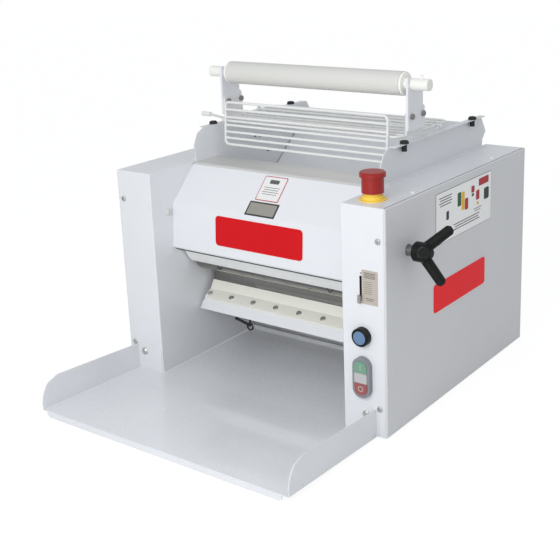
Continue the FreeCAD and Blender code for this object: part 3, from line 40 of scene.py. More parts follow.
smoothest = 0.02
bump_reach = 0.0002


def finish(name, colour, metallic=0.0, roughness=0.4, coat=0.0, grain=400.0, depth=0.1, cloud=0.02, rub=0.06,
           stretch=(1, 1, 1), shine=0.5, coat_blur=0.12):
    material = bpy.data.materials.new(name)
    material.use_nodes = True
    tree = material.node_tree
    shader = tree.nodes["Principled BSDF"]
    shader.inputs["Metallic"].default_value = metallic
    shader.inputs["Coat Weight"].default_value = coat
    shader.inputs["Specular IOR Level"].default_value = shine
    shader.inputs["Coat Roughness"].default_value = coat_blur
    where = tree.nodes.new("ShaderNodeTexCoord")
    turn = tree.nodes.new("ShaderNodeMapping")
    turn.inputs["Scale"].default_value = stretch
    tree.links.new(where.outputs["Object"], turn.inputs["Vector"])
    fine = tree.nodes.new("ShaderNodeTexNoise")
    fine.inputs["Scale"].default_value = grain
    fine.inputs["Detail"].default_value = fine_detail
    broad = tree.nodes.new("ShaderNodeTexNoise")
    broad.inputs["Scale"].default_value = cloud_scale
    broad.inputs["Detail"].default_value = cloud_detail
    tree.links.new(turn.outputs["Vector"], fine.inputs["Vector"])
    tree.links.new(turn.outputs["Vector"], broad.inputs["Vector"])
    tint = tree.nodes.new("ShaderNodeMapRange")
    tint.inputs["From Min"].default_value = noise_low
    tint.inputs["From Max"].default_value = noise_high
    tint.inputs["To Min"].default_value = 1.0 - cloud
    tint.inputs["To Max"].default_value = 1.0 + cloud
    tree.links.new(broad.outputs["Fac"], tint.inputs["Value"])
    shade = tree.nodes.new("ShaderNodeVectorMath")
    shade.operation = "SCALE"
    shade.inputs[0].default_value = colour
    tree.links.new(tint.outputs["Result"], shade.inputs["Scale"])
    tree.links.new(shade.outputs["Vector"], shader.inputs["Base Color"])
    wear = tree.nodes.new("ShaderNodeMapRange")
    wear.inputs["From Min"].default_value = noise_low
    wear.inputs["From Max"].default_value = noise_high
    wear.inputs["To Min"].default_value = max(smoothest, roughness - rub)
    wear.inputs["To Max"].default_value = min(1.0, roughness + rub)
    tree.links.new(fine.outputs["Fac"], wear.inputs["Value"])
    tree.links.new(wear.outputs["Result"], shader.inputs["Roughness"])
    bump = tree.nodes.new("ShaderNodeBump")
    bump.inputs["Strength"].default_value = depth
    bump.inputs["Distance"].default_value = bump_reach
    tree.links.new(fine.outputs["Fac"], bump.inputs["Height"])
    tree.links.new(bump.outputs["Normal"], shader.inputs["Normal"])
    return material


def dress(material, *names):
    for name in names:
        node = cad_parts[name]
        node.data.materials.clear()
        node.data.materials.append(material)


powder_white = finish("powder_coat_white", (0.765, 0.775, 0.80), roughness=0.32, coat=0.25, grain=900.0,
                      depth=0.08, cloud=0.012)
dress(powder_white, "left_housing", "right_housing", "left_cover", "hood", "left_hopper_wall",
      "right_hopper_wall", "hopper_ramp", "scraper_bed", "back_panel", "splash_wall", "base_plate")

# Right side cover: the same folded steel sheet, with its powder colour set a little greyer than the
# housings'.
# It is screwed to the edges of the right housing.
powder_side = finish("powder_coat_side", (0.69, 0.692, 0.705), roughness=0.32, coat=0.25, grain=900.0,
                     depth=0.08, cloud=0.012)
dress(powder_side, "right_cover")

# Tray: the same folded steel sheet, with a smoother and glossier coat that mirrors the columns faintly.
# It is held by a bolt on each side.
powder_tray = finish("powder_coat_glossy", (0.765, 0.775, 0.80), roughness=0.28, coat=0.8, grain=900.0,
                     depth=0.03, cloud=0.02, coat_blur=0.05)
dress(powder_tray, "tray")

# Feed strip in front of the mouth: bent stainless sheet between the hopper walls.
# It is brushed from side to side and softly mirrors the hopper.
brushed = finish("brushed_stainless", (0.80, 0.785, 0.755), metallic=0.8, roughness=0.34, grain=90.0,
                 depth=0.05, cloud=0.05, stretch=(0.15, 6, 6))
dress(brushed, "feed_strip")

# Upper scraper under the edge of the hood: a ground stainless strip, held by two wire hooks.
# It is polished along its length and very bright.
bright_strip = finish("polished_strip", (0.93, 0.93, 0.91), metallic=0.15, roughness=0.22, grain=40.0,
                      depth=0.01, cloud=0.02, rub=0.02)
dress(bright_strip, "scraper_strip")

# Wire guard, welded from steel rod, and its magnet: both have a thick soft white dip coat that is a little
# warmer than the powder of the housings. The roller's brackets are steel plate in a cooler white that is
# painted lighter than the housings' powder, as painted light on their shaded sides.
dip_white = finish("dip_coat_white", (0.80, 0.80, 0.785), roughness=0.36, coat=0.25, grain=500.0, depth=0.12)
bracket_paint_painted_light = finish("bracket_white_painted_light", (0.82, 0.825, 0.855), roughness=0.36, coat=0.2, grain=700.0)
dress(dip_white, "wire_guard", "guard_magnet")
dress(bracket_paint_painted_light, "roller_brackets")

# Sheeting rollers: hard chrome on ground steel, polished round the axis, so faint rings run round them.
# They turn between the two bearing plates.
chrome = finish("hard_chrome", (0.25, 0.245, 0.23), metallic=1.0, roughness=0.05, grain=60.0, depth=0.01,
                rub=0.015, stretch=(14, 1, 1))
dress(chrome, "front_roller", "rear_roller")

# Bearing plates, shafts, bars, scroll discs and blocks: machined steel, a little dull, with cutter marks.
# The gap pointer is the same steel, rubbed brighter by the finger; the gears carry a dark film of oil.
ground_steel = finish("machined_steel", (0.46, 0.465, 0.47), metallic=1.0, roughness=0.36, grain=220.0,
                      rub=0.1, stretch=(1, 1, 5))
pointer_steel = finish("pointer_steel", (0.36, 0.36, 0.35), metallic=0.7, roughness=0.42, grain=400.0,
                       rub=0.1)
dark_steel = finish("oiled_gear_steel", (0.27, 0.275, 0.28), metallic=1.0, roughness=0.42, grain=300.0,
                    rub=0.1)
dress(ground_steel, "left_side_plate", "right_side_plate", "tie_bars", "counter_shaft", "motor_shaft",
      "scroll_discs", "bearing_blocks", "pointer_guide")
dress(pointer_steel, "gap_pointer")
dress(dark_steel, "bull_gear", "front_roller_gear", "rear_roller_gear", "adjusting_shaft")

# Bolts of the tray: zinc-plated steel with a fine grain and a dulled shine.
# The bolts of the brackets are the same steel, darkened by handling.
zinc = finish("zinc_plated_steel", (0.56, 0.56, 0.54), metallic=0.85, roughness=0.38, grain=700.0, rub=0.08)
bolt_steel = finish("handled_bolt_steel", (0.30, 0.29, 0.28), metallic=0.8, roughness=0.42, grain=700.0,
                    rub=0.08)
dress(zinc, "tray_bolts")
dress(bolt_steel, "bracket_bolts")

# Scraper board: sawn and planed ivory plastic, slightly yellowed, with the long marks of the planer.
# It is screwed on its painted bed.
ivory = finish("ivory_board_plastic", (0.86, 0.85, 0.765), roughness=0.42, grain=160.0, depth=0.1,
               cloud=0.02, stretch=(0.1, 3, 3))
dress(ivory, "scraper_board")

# Drive in the left housing: bronze bushes, cast pulleys and saddle, enamelled motor, rubber belt.
# Bumpers and feet are moulded in the same matt black rubber as the belt.
bronze = finish("bearing_bronze", (0.50, 0.33, 0.15), metallic=1.0, roughness=0.38, grain=300.0)
cast = finish("cast_aluminium", (0.43, 0.44, 0.45), metallic=1.0, roughness=0.5, grain=180.0, depth=0.3,
              rub=0.1)
motor_grey = finish("motor_enamel", (0.12, 0.15, 0.19), roughness=0.45, coat=0.15, grain=150.0, depth=0.25)
rubber = finish("black_rubber", (0.016, 0.016, 0.017), roughness=0.72, grain=500.0, depth=0.3, cloud=0.1)
dress(bronze, "bearing_bushes")
dress(cast, "counter_pulley", "motor_pulley", "motor_saddle")
dress(motor_grey, "motor")
dress(rubber, "rubber_feet", "bumpers", "v_belt")

# Removable roller: a greyed nylon sleeve on two plugs, turning on a cream nylon shaft. The plugs' nylon is
# painted palest, as painted light that keeps their rims bright in the shade beside the brackets.
# All are turned on a lathe, and the ends of the shaft rest in the brackets.
sleeve_nylon = finish("greyed_nylon", (0.72, 0.71, 0.67), roughness=0.48, grain=120.0, depth=0.08,
                      cloud=0.03, stretch=(0.2, 1, 1))
shaft_nylon = finish("cream_nylon", (0.92, 0.91, 0.85), roughness=0.42, grain=200.0, depth=0.08, cloud=0.02)
plug_nylon_painted_light = finish("plug_nylon_painted_light", (0.97, 0.96, 0.90), roughness=0.40, grain=200.0, depth=0.05, cloud=0.01)
dress(sleeve_nylon, "nylon_sleeve")
dress(shaft_nylon, "nylon_shaft")
dress(plug_nylon_painted_light, "sleeve_plugs")

# Handle, button ring and small housings: black moulded plastic with a fine spark-eroded grain.
# The handle is fixed on its shaft, the rest is screwed to the sheet.
black_plastic = finish("black_moulding", (0.006, 0.006, 0.0055), roughness=0.5, grain=900.0, depth=0.3,
                       cloud=0.08, shine=0.25)
dress(black_plastic, "three_arm_handle", "blue_button_bezel", "contactor", "cable_gland", "interlock_sensor")

# Push buttons and emergency stop: moulded caps, slightly faded, in a grey oval and a yellow collar.
# They are clamped in holes of the right housing.
grey_bezel = finish("grey_moulding", (0.24, 0.25, 0.27), roughness=0.40, grain=700.0, depth=0.2)
signal_red = finish("signal_red_cap", (0.33, 0.007, 0.005), roughness=0.40, coat=0.05, grain=600.0,
                    cloud=0.04)
key_red = finish("key_red_cap", (0.33, 0.09, 0.09), roughness=0.34, coat=0.15, grain=600.0, cloud=0.04)
signal_green = finish("signal_green_cap", (0.17, 0.33, 0.235), roughness=0.34, coat=0.15, grain=600.0,
                      cloud=0.04)
signal_blue = finish("signal_blue_cap", (0.115, 0.21, 0.36), roughness=0.34, coat=0.15, grain=600.0,
                     cloud=0.05)
signal_yellow = finish("signal_yellow_ring", (0.95, 0.66, 0.085), roughness=0.40, coat=0.1, grain=600.0,
                       cloud=0.03)
dress(grey_bezel, "double_button_bezel")
dress(signal_red, "estop_head")
dress(key_red, "stop_button")
dress(signal_green, "start_button")
dress(signal_blue, "blue_button")
dress(signal_yellow, "estop_base")


# Pan screws of the side covers, the back panel and the scraper board: zinc-plated steel. Each head is
# a low disc with a rounded rim and a cross recess pressed into its top. Places are in millimetres,
# across from the body's middle, back from the front of the columns and up from the table.
millimetre = 0.001
body_left_of_origin = 31.0
columns_before_origin = 132.0
rim_share = 0.6
top_share = 0.9
recess_reach = 1.05
recess_width = 0.22
recess_depth = 0.9
smooth_angle = math.radians(40)
facing_front = (0, -1, 0)
facing_back = (0, 1, 0)
facing_right = (1, 0, 0)
straight_up = (0, 0, 1)
sides = ((-1, "left"), (1, "right"))


def spot(x, y, z):
    return Vector((x - body_left_of_origin, y - columns_before_origin, z)) * millimetre


def screw_head(name, place, facing, radius, height, material, recess=True, body="frame"):
    bpy.ops.object.select_all(action="DESELECT")
    bpy.ops.mesh.primitive_cylinder_add(vertices=24, radius=radius, depth=height, location=(0, 0, height / 2))
    head = bpy.context.object
    head.name = name
    bpy.ops.object.transform_apply(location=True, rotation=True, scale=True)
    bpy.ops.object.mode_set(mode="EDIT")
    bpy.ops.mesh.select_all(action="DESELECT")
    bpy.ops.object.mode_set(mode="OBJECT")
    for edge in head.data.edges:
        ends = [head.data.vertices[index].co.z for index in edge.vertices]
        edge.select = min(ends) > height * top_share
    bpy.ops.object.mode_set(mode="EDIT")
    bpy.ops.mesh.select_mode(type="EDGE")
    bpy.ops.mesh.bevel(offset=height * rim_share, segments=3, profile=0.5)
    bpy.ops.object.mode_set(mode="OBJECT")
    bpy.ops.object.shade_smooth_by_angle(angle=smooth_angle)
    if recess:
        for turn_z in (math.pi / 4, math.pi * 3 / 4):
            bpy.ops.object.select_all(action="DESELECT")
            bpy.ops.mesh.primitive_cube_add(size=1, location=(0, 0, height), rotation=(0, 0, turn_z),
                                            scale=(radius * recess_reach, radius * recess_width,
                                                   height * recess_depth))
            cutter = bpy.context.object
            bpy.ops.object.select_all(action="DESELECT")
            head.select_set(True)
            bpy.context.view_layer.objects.active = head
            cut = head.modifiers.new("recess", "BOOLEAN")
            cut.object = cutter
            cut.operation = "DIFFERENCE"
            cut.solver = "EXACT"
            bpy.ops.object.modifier_apply(modifier="recess")
            bpy.data.objects.remove(cutter)
    head.rotation_euler = Vector(facing).to_track_quat("Z", "Y").to_euler()
    head.location = place
    bpy.ops.object.transform_apply(location=True, rotation=True, scale=True)
    head.data.materials.clear()
    head.data.materials.append(material)
    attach(head, body)


cover_screw_x = 271.5
cover_screw_z = (52.9, 332.2)
panel_screw_x = 193.0
panel_face_y = 485.5
panel_screw_z = (48.0, 190.0, 330.0)
top_screw_x = 270.0
top_screw_y = (110.0, 393.0)
body_top = 385.0
board_screws = 8
board_first_x = -187.0
board_pitch = 52.7
board_screw_y = 124.6
board_screw_z = 126.0
facing_off_board = (0, -0.505, 0.863)
for side, label in sides:
    for row, z in enumerate(cover_screw_z):
        screw_head(f"{label}_cover_front_screw_{row}", spot(side * cover_screw_x, 0, z), facing_front,
                   radius=0.005, height=0.0024, material=zinc)
    for row, z in enumerate(panel_screw_z):
        screw_head(f"{label}_panel_screw_{row}", spot(side * panel_screw_x, panel_face_y, z), facing_back,
                   radius=0.0042, height=0.0022, material=zinc)
for row, y in enumerate(top_screw_y):
    screw_head(f"right_cover_top_screw_{row}", spot(top_screw_x, y, body_top), straight_up,
               radius=0.0042, height=0.0022, material=powder_white)
for number in range(board_screws):
    place = spot(board_first_x + board_pitch * number, board_screw_y, board_screw_z)
    screw_head(f"board_screw_{number}", place, facing_off_board, radius=0.0052, height=0.0020, material=zinc)

# Nylon plugs that close the service holes in the inner faces of the columns: moulded domes, pressed in.
# The screws of the hopper and the wire hooks of the scraper are blackened steel.
plug_white = finish("plug_white", (0.62, 0.64, 0.61), roughness=0.45, grain=500.0)
black_oxide = finish("black_oxide_screw", (0.03, 0.03, 0.032), metallic=0.6, roughness=0.5, grain=500.0)
dress(black_oxide, "scraper_springs")
column_face_x = 203.4
inner_plug_y = 42.8
inner_plug_z = 305.2
hopper_face_x = 201.5
hopper_screw_places = ((302.0, 401.4), (318.0, 398.6), (341.5, 365.0))
for side, label in sides:
    screw_head(f"{label}_inner_plug", spot(side * column_face_x, inner_plug_y, inner_plug_z), (-side, 0, 0),
               radius=0.0062, height=0.0035, material=plug_white, recess=False)
    for row, (y, z) in enumerate(hopper_screw_places):
        screw_head(f"{label}_hopper_screw_{row}", spot(side * hopper_face_x, y, z), (-side, 0, 0),
                   radius=0.0030, height=0.0016, material=black_oxide)


# Rims of the two plugs of the sleeve: turned nylon in the plugs' palest colour, which is painted light, each
# a short ring that stands out of the sleeve.
# The ring is turned from a disc, its edge is rounded and the bore of the shaft is cut out.
rim_x = 189.2
sleeve_y = 224.0
sleeve_z = 538.0
rim_round_share = 0.35
rim_smooth_angle = math.radians(30)
drill_share = 3


def plug_rim(name, middle, radius, bore, length, body):
    bpy.ops.object.select_all(action="DESELECT")
    bpy.ops.mesh.primitive_cylinder_add(vertices=64, radius=radius, depth=length, location=middle,
                                        rotation=(0, math.pi / 2, 0))
    rim = bpy.context.object
    rim.name = name
    bpy.ops.object.transform_apply(location=True, rotation=True, scale=True)
    for edge in rim.data.edges:
        start, end = (rim.data.vertices[index].co for index in edge.vertices)
        edge.select = abs(start.x - end.x) < length / 2
    bpy.ops.object.mode_set(mode="EDIT")
    bpy.ops.mesh.select_mode(type="EDGE")
    bpy.ops.mesh.bevel(offset=length * rim_round_share, segments=4, profile=0.5)
    bpy.ops.object.mode_set(mode="OBJECT")
    bpy.ops.object.select_all(action="DESELECT")
    bpy.ops.mesh.primitive_cylinder_add(vertices=48, radius=bore, depth=length * drill_share, location=middle,
                                        rotation=(0, math.pi / 2, 0))
    drill = bpy.context.object
    bpy.ops.object.select_all(action="DESELECT")
    rim.select_set(True)
    bpy.context.view_layer.objects.active = rim
    cut = rim.modifiers.new("bore", "BOOLEAN")
    cut.object = drill
    cut.operation = "DIFFERENCE"
    cut.solver = "EXACT"
    bpy.ops.object.modifier_apply(modifier="bore")
    bpy.data.objects.remove(drill)
    bpy.ops.object.shade_smooth_by_angle(angle=rim_smooth_angle)
    rim.data.materials.clear()
    rim.data.materials.append(plug_nylon_painted_light)
    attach(rim, body)


for side, label in sides:
    plug_rim(f"{label}_plug_rim", spot(side * rim_x, sleeve_y, sleeve_z),
             radius=0.0203, bore=0.0103, length=0.0044, body="roller_sleeve")


# Name plates, data plate and cards: enamelled, brushed or printed sheet, stuck on the paint.
# Each is cut to size flat, its corners are rounded, and then it is laid on its surface.
def plate(name, centre, width, height, thick, facing, upward, material, corner, body="frame"):
    bpy.ops.object.select_all(action="DESELECT")
    bpy.ops.mesh.primitive_cube_add(size=1, location=(0, 0, 0), scale=(width, height, thick))
    card = bpy.context.object
    card.name = name
    bpy.ops.object.transform_apply(location=True, rotation=True, scale=True)
    bpy.ops.object.mode_set(mode="EDIT")
    bpy.ops.mesh.select_all(action="DESELECT")
    bpy.ops.object.mode_set(mode="OBJECT")
    for edge in card.data.edges:
        start, end = (card.data.vertices[index].co for index in edge.vertices)
        edge.select = abs(start.z - end.z) > thick / 2
    bpy.ops.object.mode_set(mode="EDIT")
    bpy.ops.mesh.select_mode(type="EDGE")
    bpy.ops.mesh.bevel(offset=corner, segments=5, profile=0.5)
    bpy.ops.object.mode_set(mode="OBJECT")
    out = Vector(facing).normalized()
    up = Vector(upward).normalized()
    right = up.cross(out)
    seat = centre + out * (thick / 2)
    card.matrix_world = Matrix(((right.x, up.x, out.x, seat.x), (right.y, up.y, out.y, seat.y),
                                (right.z, up.z, out.z, seat.z), (0, 0, 0, 1)))
    bpy.ops.object.transform_apply(location=True, rotation=True, scale=True)
    card.data.materials.clear()
    card.data.materials.append(material)
    if body:
        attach(card, body)
    return card


enamel_red = finish("red_enamel_plate", (0.62, 0.003, 0.008), roughness=0.36, grain=300.0, cloud=0.02,
                    depth=0.01, rub=0.02, shine=0.2)
card_white = finish("printed_card_white", (0.80, 0.79, 0.78), roughness=0.42, coat=0.1, grain=500.0,
                    depth=0.03)
plate_silver = finish("brushed_data_plate", (0.36, 0.34, 0.30), metallic=0.4, roughness=0.42, grain=260.0,
                      stretch=(1, 8, 8))
plate_beige = finish("scale_card_beige", (0.50, 0.44, 0.38), roughness=0.45, grain=500.0, depth=0.03)
ink_grey = finish("grey_print", (0.10, 0.10, 0.10), roughness=0.5, grain=500.0, depth=0.03)
ink_red = finish("red_print", (0.46, 0.02, 0.03), roughness=0.5, grain=500.0, depth=0.03)
# The red plate on the right side gets a far brighter copy of the red enamel, as painted light for the shade
# that falls on that side of the machine.
enamel_red_painted_light = finish("red_enamel_painted_light", (0.95, 0.006, 0.014), roughness=0.36, grain=300.0,
                         cloud=0.02, depth=0.01, rub=0.02, shine=0.2)
side_white = finish("laminated_card_white", (0.95, 0.95, 0.935), roughness=0.42, coat=0.1, grain=500.0,
                    depth=0.03)
ink_dark = finish("dark_print", (0.03, 0.03, 0.03), roughness=0.5, grain=500.0, depth=0.03)
ink_green = finish("green_print", (0.03, 0.10, 0.04), roughness=0.5, grain=500.0, depth=0.03)
ink_yellow = finish("yellow_print", (0.80, 0.50, 0.04), roughness=0.5, grain=500.0, depth=0.03)
hood_up = Vector((0, 1, 1)).normalized()
hood_out = Vector((0, -1, 1)).normalized()
low_run = 6.0
low_rise = 83.0
low_up = Vector((0, low_run, low_rise)).normalized()
low_out = Vector((0, -low_rise, low_run)).normalized()
hood_foot_y = 49.0
hood_foot_z = 236.0
name_plate_x = -4.5
name_plate_z = 283.5
cover_face_x = 285.0
service_top = spot(-4.0, 113.8, 377.8)
service_bottom = spot(-4.0, 78.9, 342.9)
service_middle = (service_top + service_bottom) / 2
data_top = spot(-4.2, 75.8, 339.8)
data_bottom = spot(-4.2, 56.9, 320.9)
data_middle = (data_top + data_bottom) / 2
name_plate_y = hood_foot_y + low_run * (name_plate_z - hood_foot_z) / low_rise
name_middle = spot(name_plate_x, name_plate_y, name_plate_z)
side_name_middle = spot(cover_face_x, 243.5, 193.0)
side_card_middle = spot(cover_face_x, 257.8, 327.7)
scale_middle = spot(256.0, 0, 255.0)
edge_thick = 0.0003
rim_thick = 0.0004
card_thick = 0.0005
data_plate_thick = 0.0006
side_sign_thick = 0.0008
hood_sign_thick = 0.0009
sheets = (
    ("service_card_edge", service_middle, 0.0497, 0.0500, edge_thick, hood_out, hood_up, ink_red, 0.0025),
    ("service_card", service_middle, 0.0467, 0.0470, card_thick, hood_out, hood_up, card_white, 0.002),
    ("data_plate_edge", data_middle, 0.0640, 0.0285, edge_thick, hood_out, hood_up, ink_dark, 0.0015),
    ("data_plate", data_middle, 0.0580, 0.0226, data_plate_thick, hood_out, hood_up, plate_silver, 0.001),
    ("hood_name_plate_rim", name_middle, 0.1935, 0.0565, rim_thick, low_out, low_up, card_white, 0.008),
    ("hood_name_plate", name_middle, 0.191, 0.054, hood_sign_thick, low_out, low_up, enamel_red, 0.007),
    ("side_name_plate", side_name_middle, 0.187, 0.050, side_sign_thick,
     facing_right, straight_up, enamel_red_painted_light, 0.006),
    ("side_card_edge", side_card_middle, 0.202, 0.088, edge_thick,
     facing_right, straight_up, ink_grey, 0.003),
    ("side_card", side_card_middle, 0.2005, 0.0865, card_thick,
     facing_right, straight_up, side_white, 0.0025),
    ("scale_card", scale_middle, 0.0293, 0.0562, card_thick,
     facing_front, straight_up, plate_beige, 0.001),
)
for name, centre, width, height, thick, facing, upward, material, corner in sheets:
    plate(name, centre, width, height, thick, facing, upward, material, corner)

# Joint between the top of the right housing and its side cover: a thin dark line of sealant
# that is run along the whole depth.
sharp_corner = 0.0001
joint_middle = spot(281.5, 251.0, body_top)
plate("right_cover_joint", joint_middle, width=0.0010, height=0.496, thick=0.0002,
      facing=straight_up, upward=facing_back, material=rubber, corner=sharp_corner)

# Folded front edge of the feed strip: the same brushed stainless sheet.
# It laps down behind the top of the hood.
fold_middle = spot(0, 118.4, 382.0)
plate("feed_strip_fold", fold_middle, width=0.404, height=0.0052, thick=0.0005,
      facing=(0, -0.64, 0.77), upward=(0, 0.77, 0.64), material=brushed, corner=sharp_corner)

# Painted shadow under the hood's lower edge: a thin strip in the black rubber finish, laid along the joint
# above the polished strip, where the lip of the hood shades it.
hood_edge_shadow_middle = spot(0, 54.0, 233.5)
plate("hood_edge_painted_shadow", hood_edge_shadow_middle, width=0.400, height=0.0018, thick=0.0004,
      facing=facing_front, upward=straight_up, material=rubber, corner=sharp_corner)


# Plain rules and blocks printed on the cards, and the lines of the gap scale: thin flat strokes of ink.
# A stroke is given by its place across and along its card, its width and its height, all in millimetres.
ink_thick = 0.0001
ink_corner_rate = 0.0002


def strokes(name, origin, facing, upward, rows, material, lift):
    out = Vector(facing).normalized()
    up = Vector(upward).normalized()
    right = up.cross(out)
    made = []
    for number, (across, along, width, height) in enumerate(rows):
        place = origin + right * (across * millimetre) + up * (along * millimetre) + out * lift
        made.append(plate(f"{name}_{number}", place, width * millimetre, height * millimetre, ink_thick,
                          facing, upward, material, min(width, height) * ink_corner_rate, None))
    bpy.ops.object.select_all(action="DESELECT")
    for piece in made:
        piece.select_set(True)
    bpy.context.view_layer.objects.active = made[0]
    bpy.ops.object.join()
    made[0].name = name
    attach(made[0], "frame")


side_rows = [(-68.0, 34.0 - 4.5 * row, 44.0 - 6.0 * (row % 2), 1.6) for row in range(4)]
side_rows += [(8.0, -22.0 - 4.5 * row, 96.0 - 10.0 * (row % 2), 1.6) for row in range(3)]
side_rows += [(48.0, -12.0 - 4.0 * row, 30.0 - 8.0 * row, 1.2) for row in range(2)]
strokes("side_card_rules", side_card_middle, facing_right, straight_up, side_rows, ink_grey, lift=card_thick)
side_blocks = (("green", ink_green, [(-19.5, 18.0, 13.0, 24.0), (30.0, 15.0, 8.0, 5.0)]),
               ("yellow", ink_yellow, [(-6.0, 12.5, 11.0, 32.0), (48.5, -4.0, 7.0, 6.0)]),
               ("red", ink_red, [(6.5, 4.5, 12.0, 20.0), (30.0, 25.0, 12.0, 12.0), (48.5, 11.0, 13.0, 17.0),
                                 (71.0, 32.0, 38.0, 13.0)]),
               ("dark", ink_dark, [(82.0, 7.0, 19.0, 21.0), (-61.0, 0.0, 9.0, 15.0)]))
for tone, ink, block_rows in side_blocks:
    strokes(f"side_card_{tone}_blocks", side_card_middle, facing_right, straight_up, block_rows, ink,
            lift=card_thick)
service_rows = [(0.0, 14.0, 20.0, 8.0)]
service_rows += [(0.0, 2.0 - 4.5 * row, 34.0 - 4.0 * (row % 2), 1.0) for row in range(4)]
strokes("service_card_rules", service_middle, hood_out, hood_up, service_rows, ink_grey, lift=card_thick)
scale_rows = [(0.0, 23.5 - 2.6 * row, 22.0 - 3.0 * (row % 2), 1.1) for row in range(4)]
scale_rows += [(-3.0, 9.0 - 3.2 * row, 14.0, 0.6) for row in range(7)]
scale_rows += [(0.0, -18.0 - 3.0 * row, 16.0 - 4.0 * row, 1.1) for row in range(2)]
strokes("scale_card_rules", scale_middle, facing_front, straight_up, scale_rows, ink_grey, lift=card_thick)

# Pilot lens between the two keys, and the bar and ring that mark the keys: pale moulded plastic.
# The ring is a flattened torus let into the cap, so it stands out by a hair only.
key_x = 242.0
lens_y = -9.0
lens_z = 103.1
mark_y = -10.5
start_z = 121.0
stop_z = 85.0
ring_flatness = 0.25
lens_grey = finish("lens_grey_white", (0.50, 0.49, 0.49), roughness=0.35, coat=0.2, grain=400.0, depth=0.05)
mark_pale = finish("key_mark_pale", (0.52, 0.46, 0.45), roughness=0.4, grain=400.0, depth=0.03)
plate("pilot_lens", spot(key_x, lens_y, lens_z), width=0.0232, height=0.0166, thick=0.0013,
      facing=facing_front, upward=straight_up, material=lens_grey, corner=0.0012)
plate("start_bar", spot(key_x, mark_y, start_z), width=0.0011, height=0.0090, thick=0.0002,
      facing=facing_front, upward=straight_up, material=mark_pale, corner=0.0004, body="start_key")
bpy.ops.object.select_all(action="DESELECT")
bpy.ops.mesh.primitive_torus_add(major_radius=0.0042, minor_radius=0.0007, major_segments=32,
                                 minor_segments=8, location=(0, 0, 0))
ring = bpy.context.object
ring.name = "stop_ring"
ring.scale = (1, 1, ring_flatness)
ring.rotation_euler = (math.pi / 2, 0, 0)
ring.location = spot(key_x, mark_y, stop_z)
bpy.ops.object.transform_apply(location=True, rotation=True, scale=True)
bpy.ops.object.shade_smooth()
ring.data.materials.append(mark_pale)
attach(ring, "stop_key")

# Eye bolt and tension lever under the bed of the scraper board: bent and blackened steel rod.
# The shank is screwed into the folded edge of the bed, the ring hangs below it and the lever passes
# through the ring.
bolt_x = -86.0
bolt_y = 118.0
ring_z = 80.5
shank_z = 99.5
lever_x = -103.0
lever_z = 86.5
lever_tilt = 13
bpy.ops.object.select_all(action="DESELECT")
bpy.ops.mesh.primitive_torus_add(major_radius=0.0065, minor_radius=0.0016, major_segments=32,
                                 minor_segments=10, location=spot(bolt_x, bolt_y, ring_z),
                                 rotation=(math.pi / 2, 0, 0))
eye = bpy.context.object
bpy.ops.mesh.primitive_cylinder_add(vertices=16, radius=0.0018, depth=0.026,
                                    location=spot(bolt_x, bolt_y, shank_z))
shank = bpy.context.object
bpy.ops.mesh.primitive_cylinder_add(vertices=16, radius=0.0026, depth=0.036,
                                    location=spot(lever_x, bolt_y, lever_z),
                                    rotation=(0, math.radians(90 + lever_tilt), 0))
lever = bpy.context.object
bpy.ops.object.select_all(action="DESELECT")
for piece in (eye, shank, lever):
    piece.select_set(True)
bpy.context.view_layer.objects.active = eye
bpy.ops.object.join()
eye.name = "bed_eye_bolt"
bpy.ops.object.transform_apply(location=True, rotation=True, scale=True)
bpy.ops.object.shade_smooth_by_angle(angle=smooth_angle)
eye.data.materials.clear()
eye.data.materials.append(black_oxide)
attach(eye, "frame")

# Studio table: one sheet of white paper that keeps a faint shadow where the machine stands.
# To the camera most of the paper's white is glow, to everything else the paper only reflects.
glow_strength = 1.08
glow_share = 0.85
bpy.ops.object.select_all(action="DESELECT")
bpy.ops.mesh.primitive_plane_add(size=14, location=(0, 0, 0))
floor = bpy.context.object
floor.name = "studio_floor"
paper = bpy.data.materials.new("studio_paper")
paper.use_nodes = True
sheet_tree = paper.node_tree
sheet_shader = sheet_tree.nodes["Principled BSDF"]
sheet_shader.inputs["Base Color"].default_value = (0.78, 0.78, 0.78, 1)
sheet_shader.inputs["Roughness"].default_value = 0.8
glow = sheet_tree.nodes.new("ShaderNodeEmission")
glow.inputs["Color"].default_value = (1, 1, 1, 1)
glow.inputs["Strength"].default_value = glow_strength
seen = sheet_tree.nodes.new("ShaderNodeLightPath")
part_seen = sheet_tree.nodes.new("ShaderNodeMath")
part_seen.operation = "MULTIPLY"
part_seen.inputs[1].default_value = glow_share
sheet_tree.links.new(seen.outputs["Is Camera Ray"], part_seen.inputs[0])
blend = sheet_tree.nodes.new("ShaderNodeMixShader")
sheet_tree.links.new(part_seen.outputs["Value"], blend.inputs["Fac"])
sheet_tree.links.new(sheet_shader.outputs["BSDF"], blend.inputs[1])
sheet_tree.links.new(glow.outputs["Emission"], blend.inputs[2])
sheet_tree.links.new(blend.outputs["Shader"], sheet_tree.nodes["Material Output"].inputs["Surface"])
floor.data.materials.append(paper)

# Room light: an even, slightly cool light from all sides falls on the machine,
# and the camera sees the room itself as white.
world = bpy.data.worlds.new("studio_world")
bpy.context.scene.world = world
world.use_nodes = True
room = world.node_tree
sky = room.nodes["Background"]
sky.inputs["Color"].default_value = (0.94, 0.968, 1.0, 1)
sky.inputs["Strength"].default_value = 0.67
white = room.nodes.new("ShaderNodeBackground")
white.inputs["Color"].default_value = (1, 1, 1, 1)
white.inputs["Strength"].default_value = 1.0
path = room.nodes.new("ShaderNodeLightPath")
choice = room.nodes.new("ShaderNodeMixShader")
room.links.new(path.outputs["Is Camera Ray"], choice.inputs["Fac"])
room.links.new(sky.outputs["Background"], choice.inputs[1])
room.links.new(white.outputs["Background"], choice.inputs[2])
room.links.new(choice.outputs["Shader"], room.nodes["World Output"].inputs["Surface"])


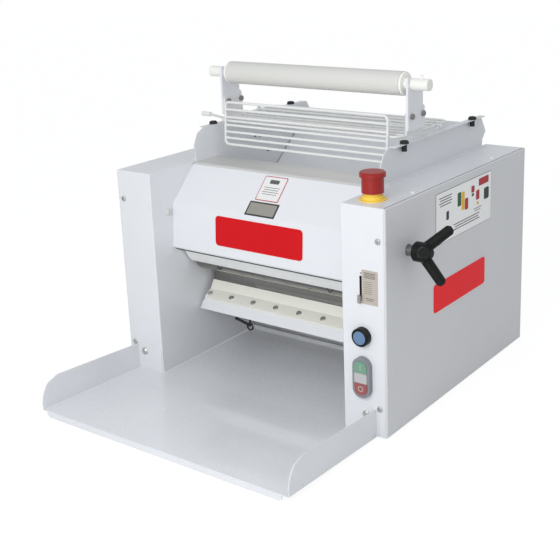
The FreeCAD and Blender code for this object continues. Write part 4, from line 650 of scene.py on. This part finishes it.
# Three soft lamps: the main one in front, a little to the right, a low one before the tray that reaches into
# the mouth, and a weak one far on the right.
def soft_lamp(name, place, target, size, power, colour):
    bpy.ops.object.light_add(type="AREA", location=place)
    lamp = bpy.context.object
    lamp.name = name
    lamp.data.shape = "SQUARE"
    lamp.data.size = size
    lamp.data.energy = power
    lamp.data.color = colour
    lamp.rotation_euler = (Vector(place) - Vector(target)).to_track_quat("Z", "Y").to_euler()


soft_lamp("front_lamp", (0.50, -1.7, 0.75), (0.0, 0.0, 0.25), size=0.9, power=5.0, colour=(1.0, 0.98, 0.945))
soft_lamp("tray_lamp", (0.24, -1.2, 0.9), (-0.1, 0.1, 0.15), size=0.6, power=6.0, colour=(0.94, 0.975, 1.0))
soft_lamp("side_lamp", (2.2, 0.1, 1.3), (0.0, 0.0, 0.3), size=1.4, power=0.4, colour=(0.98, 0.99, 1.0))

# Camera: it stands in front, far to the right and a little above, with a long lens shifted off its axis.
# The focal length and the picture's centre are in pixels of a square picture.
picture = 560
picture_middle = 280
focal_pixels = 1033.81
centre_column = 296.0
centre_row = 221.27
sensor = 36
azimuth = math.radians(36.751)
elevation = math.radians(15.806)
roll = math.radians(-2.06)
back = Vector((math.sin(azimuth) * math.cos(elevation), -math.cos(azimuth) * math.cos(elevation),
               math.sin(elevation)))
level = Vector((math.cos(azimuth), math.sin(azimuth), 0))
above = back.cross(level)
right = level * math.cos(roll) + above * math.sin(roll)
upward = above * math.cos(roll) - level * math.sin(roll)
camera_place = spot(1072.1, -1277.8, 794.8)
bpy.ops.object.camera_add(location=camera_place)
camera = bpy.context.object
camera.matrix_world = Matrix(((right.x, upward.x, back.x, camera_place.x),
                              (right.y, upward.y, back.y, camera_place.y),
                              (right.z, upward.z, back.z, camera_place.z), (0, 0, 0, 1)))
camera.data.sensor_width = sensor
camera.data.lens = focal_pixels * sensor / picture
camera.data.shift_x = (picture_middle - centre_column) / picture
camera.data.shift_y = (centre_row - picture_middle) / picture
bpy.context.scene.camera = camera
bpy.context.scene.view_settings.view_transform = "Standard"
